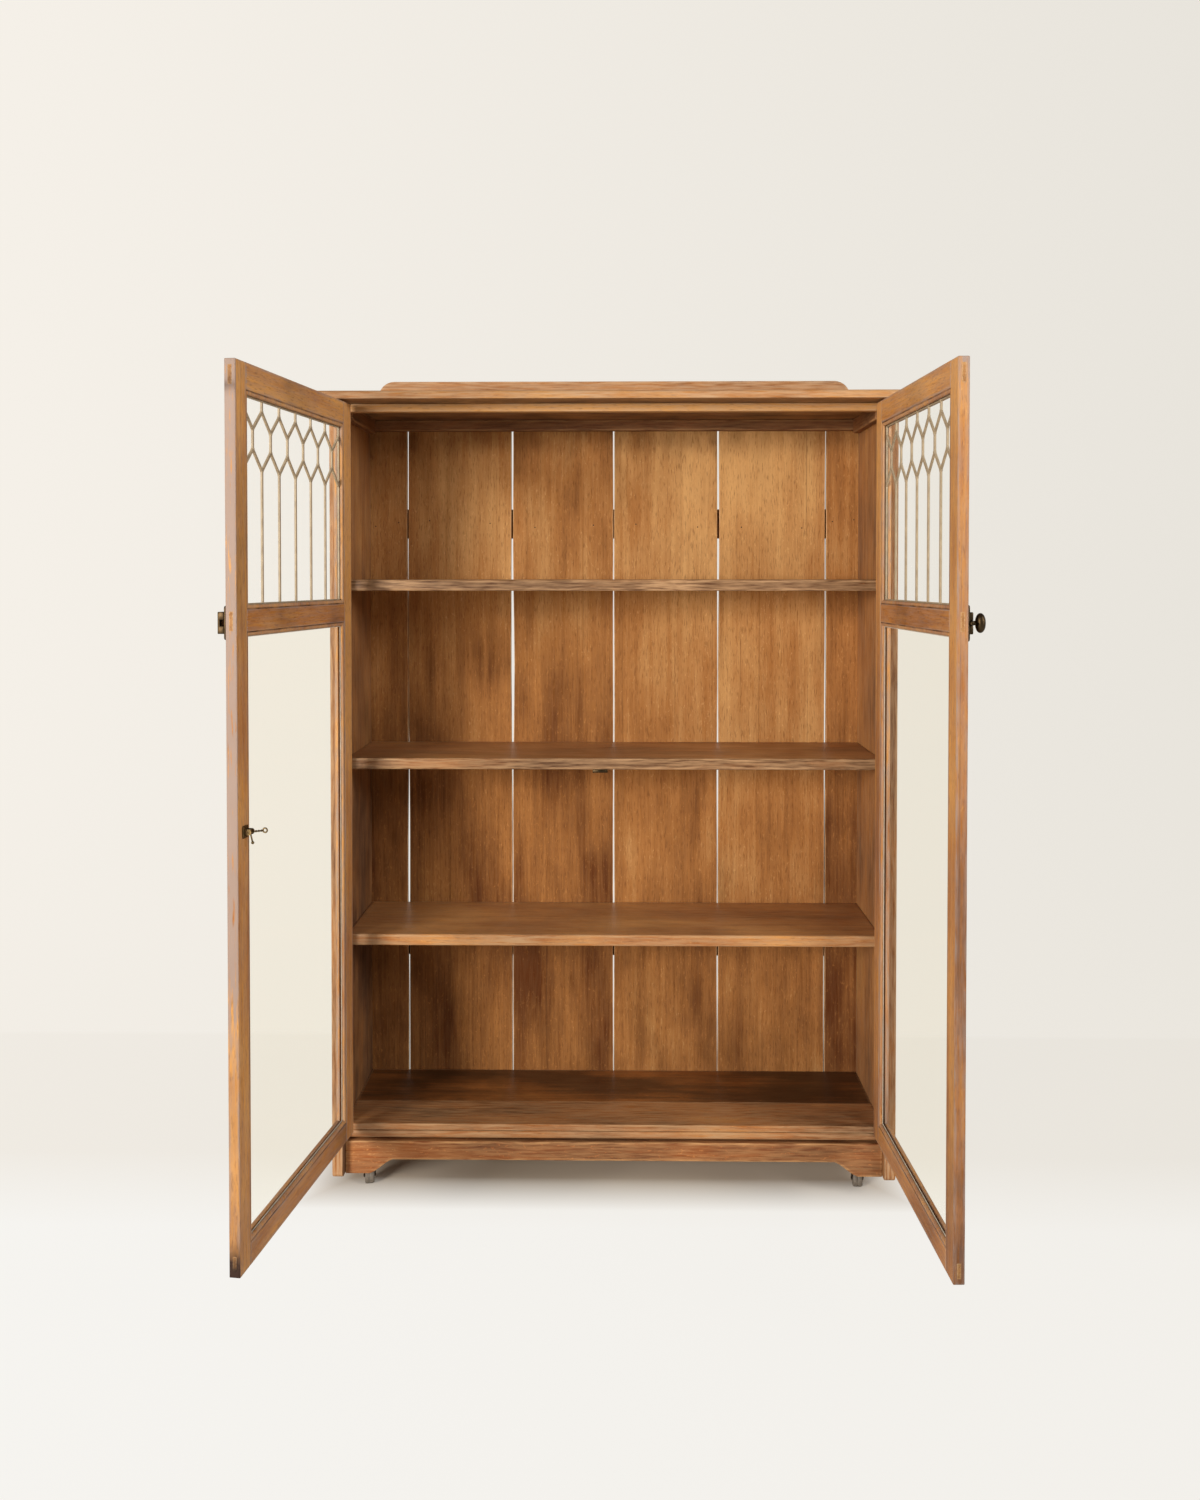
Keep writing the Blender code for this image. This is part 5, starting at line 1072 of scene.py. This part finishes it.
for corner in ("front_left", "front_right", "rear_left", "rear_right"):
    stem = Vector(joints[f"castor_{corner}_swivel"]["pos_m"])
    hub = Vector(joints[f"castor_{corner}_roll"]["pos_m"])
    trail = Vector((hub.x - stem.x, hub.y - stem.y, 0.0)).normalized()
    axle = Vector((0.0, 0.0, 1.0)).cross(trail)
    turn = Matrix((trail, axle, (0.0, 0.0, 1.0))).transposed().to_4x4()
    place = Matrix.Translation((stem.x, stem.y, 0.0)) @ turn
    profile = [
        (0.0, cup_top - 0.006), (0.008, cup_top - 0.006), (CUP_RADIUS, cup_top - 0.003),
        (CUP_RADIUS, cup_top - 0.0006), (CUP_RADIUS - 0.0006, cup_top), (0.0, cup_top),
    ]
    parts = [turned(profile, steps=28)]
    outline = [(-HORN_HALF, cup_top - 0.0025), (HORN_HALF, cup_top - 0.0025), (CUP_RADIUS, HORN_BEND)]
    for step in range(7):
        angle = -math.pi * step / 6
        outline.append((TRAIL + EYE * math.cos(angle), hub.z + EYE * math.sin(angle)))
    outline.append((-0.004, HORN_BEND))
    for way in (-1, 1):
        start = way * (WHEEL_HALF + WHEEL_PLAY)
        ear = prism([(x, start, z) for x, z in outline], (0.0, way * CHEEK_THICK, 0.0))
        round_edges(ear, sharp_edges(ear), 0.0004, 1)
        parts.append(ear)
    reach = WHEEL_HALF + CHEEK_THICK + RIVET
    parts.append(bar((TRAIL, -reach, hub.z), (TRAIL, reach, hub.z), AXLE, 0.0006))
    horn = place_piece("castor_" + corner + "_iron", join(parts), IRON, place)
    fit(horn, "castor_horn_" + corner, "iron", "castor_horn_" + corner)

    spun = turned(wheel_profile, Matrix.Translation((TRAIL, 0.0, hub.z)) @ ON_Y, 36)
    wheel = place_piece("castor_" + corner + "_wheel", spun, WHEEL_WOOD, place)
    fit(wheel, "castor_wheel_" + corner, "wheel_wood", "castor_wheel_" + corner)

# Nails: small cut nails of iron through the planks into the battens, two to each plank and batten. Their
# heads have gone dark, and the ends are clenched behind.
NAIL_RADIUS, NAIL_SHARES, NAIL_STRAY = 0.0014, (0.2, 0.8), 0.004
for level in ("lower", "upper"):
    batten_low, batten_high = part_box("back_batten_" + level)
    parts = []
    for low, high in plank_boxes:
        for share in NAIL_SHARES:
            x = low.x + (high.x - low.x) * share + chance.uniform(-NAIL_STRAY, NAIL_STRAY)
            z = batten_low.z + (batten_high.z - batten_low.z) * chance.uniform(0.35, 0.65)
            for y, way in ((low.y, -1.0), (batten_high.y, 1.0)):
                profile = [(0.0, -0.0010), (NAIL_RADIUS, -0.0010), (NAIL_RADIUS, 0.0), (0.0, 0.0003)]
                parts.append(turned(profile, aimed((x, y, z), (x, y + way, z)), 10))
    nails = place_piece(f"back_nails_{level}", join(parts), IRON)
    fit(nails, "carcase", "iron")

# Studio: a pale sweep of paper behind and below, a soft lamp at the left, a weaker one at the right and an
# even white room. Seen by the camera the paper is as pale as written, but it keeps the cabinet's shade.
SWEEP_HALF, SWEEP_FRONT, SWEEP_BACK, SWEEP_BEND, SWEEP_TOP = 9.0, -7.0, 3.2, 1.6, 7.0
SWEEP_STEPS = 16
SHADE_INNER, SHADE_OUTER = 0.50, 0.60     # how far aside the paper keeps its full shade, and any of it
FLOOR_GLOW, ROOM_LIGHT = 0.96, 0.22

sweep = bmesh.new()
line = [(SWEEP_FRONT, 0.0)]
for step in range(SWEEP_STEPS + 1):
    angle = math.pi / 2 * step / SWEEP_STEPS
    line.append((SWEEP_BACK - SWEEP_BEND * (1 - math.sin(angle)), SWEEP_BEND * (1 - math.cos(angle))))
line.append((SWEEP_BACK, SWEEP_TOP))
verts = [sweep.verts.new((-SWEEP_HALF, y, z)) for y, z in line]
edges = [sweep.edges.new(pair) for pair in zip(verts, verts[1:])]
swept = bmesh.ops.extrude_edge_only(sweep, edges=edges)
moved = [item for item in swept["geom"] if isinstance(item, bmesh.types.BMVert)]
bmesh.ops.translate(sweep, verts=moved, vec=(2 * SWEEP_HALF, 0.0, 0.0))

paper, tree, shader = new_finish("pale_paper", 0.9)
shader.inputs["Base Color"].default_value = linear("C8BDAE")
shader.inputs["Specular IOR Level"].default_value = 0.0
place = add(tree, "SeparateXYZ", {"Vector": add(tree, "TexCoord").outputs["Object"]}).outputs
# Painted light: the glow the camera sees is a little paler at the left than at the right.
across = add(tree, "MapRange", {"Value": place["X"], "From Min": -2.6, "From Max": 2.6}).outputs[0]
wall = add(tree, "Mix", {0: across, 6: linear("F5F0E8"), 7: linear("E8E4DC")}, data_type="RGBA").outputs[2]
far = add(tree, "MapRange", {"Value": place["Y"], "From Min": 0.3, "From Max": 1.0}).outputs[0]
rise = add(tree, "MapRange", {"Value": place["Y"], "From Min": 0.0, "From Max": 0.3}).outputs[0]
floor = add(tree, "Mix", {0: across, 6: linear("FBFAF7"), 7: linear("F1EEE8")}, data_type="RGBA").outputs[2]
wall = add(tree, "Mix", {0: rise, 6: floor, 7: wall}, data_type="RGBA").outputs[2]
glow = add(tree, "Emission", {"Color": wall}).outputs[0]
front_edge = {"From Min": side_front + 0.10, "From Max": side_front - 0.03}
forward = add(tree, "MapRange", {"Value": place["Y"], **front_edge})
aside = add(tree, "Math", {0: place["X"]}, operation="ABSOLUTE").outputs[0]
aside = add(tree, "MapRange", {"Value": aside, "From Min": SHADE_INNER, "From Max": SHADE_OUTER}).outputs[0]
clear = add(tree, "Math", {0: forward.outputs[0], 1: aside}, operation="MAXIMUM").outputs[0]
clear = add(tree, "Math", {0: clear, 1: FLOOR_GLOW}, operation="MULTIPLY").outputs[0]
clear = add(tree, "Math", {0: clear, 1: far}, operation="MAXIMUM").outputs[0]
rays = add(tree, "LightPath").outputs
seen = add(tree, "Math", {0: rays["Is Camera Ray"], 1: rays["Is Glossy Ray"]}, operation="MAXIMUM").outputs[0]
seen = add(tree, "Math", {0: seen, 1: rays["Is Transmission Ray"]}, operation="MAXIMUM").outputs[0]
share = add(tree, "Math", {0: seen, 1: clear}, operation="MULTIPLY").outputs[0]
mixed = add(tree, "MixShader", {0: share, 1: shader.outputs[0], 2: glow})
tree.links.new(mixed.outputs[0], tree.nodes["Material Output"].inputs["Surface"])
backdrop = place_piece("backdrop", sweep, paper)

world = bpy.data.worlds.new("white_room")
bpy.context.scene.world = world
world.use_nodes = True
world.node_tree.nodes["Background"].inputs["Color"].default_value = linear("FFFDFA")
world.node_tree.nodes["Background"].inputs["Strength"].default_value = ROOM_LIGHT


def soft_lamp(name, place, aim, size, watts, colour):
    """A large square lamp, pointed at a place on the cabinet."""
    lamp = bpy.data.lights.new(name, "AREA")
    lamp.size = size
    lamp.energy = watts
    lamp.color = linear(colour)[:3]
    stand = bpy.data.objects.new(name, lamp)
    bpy.context.scene.collection.objects.link(stand)
    stand.location = place
    stand.rotation_euler = (Vector(aim) - Vector(place)).to_track_quat("-Z", "Y").to_euler()


soft_lamp("window_left", (-3.4, -4.6, 1.7), (0.1, 0.3, 0.9), 1.6, 370, "FFF8EE")
soft_lamp("fill_right", (3.8, -2.6, 2.6), (0.0, 0.2, 0.8), 1.6, 150, "FFFDFA")

# Camera: level with the upper shelf and almost square to the front. Its lens and its rise are those that
# put the cabinet's edges where the photograph shows them, in a picture of 1200 by 1500.
PICTURE_HEIGHT = 1500
FOCAL_PIXELS, CENTRE_ABOVE = 1279.43, 146.41
SENSOR = 36.0
CAMERA_PLACE, CAMERA_DIP, CAMERA_TURN = (0.02291, -2.30916, 1.18782), 0.02033, 0.01495

camera = bpy.data.cameras.new("camera")
camera.sensor_width = SENSOR
camera.lens = FOCAL_PIXELS * SENSOR / PICTURE_HEIGHT
camera.shift_y = -CENTRE_ABOVE / PICTURE_HEIGHT
viewer = bpy.data.objects.new("camera", camera)
bpy.context.scene.collection.objects.link(viewer)
viewer.location = CAMERA_PLACE
viewer.rotation_euler = (math.pi / 2 - CAMERA_DIP, 0.0, CAMERA_TURN)
bpy.context.scene.camera = viewer
bpy.context.scene.view_settings.view_transform = "Standard"
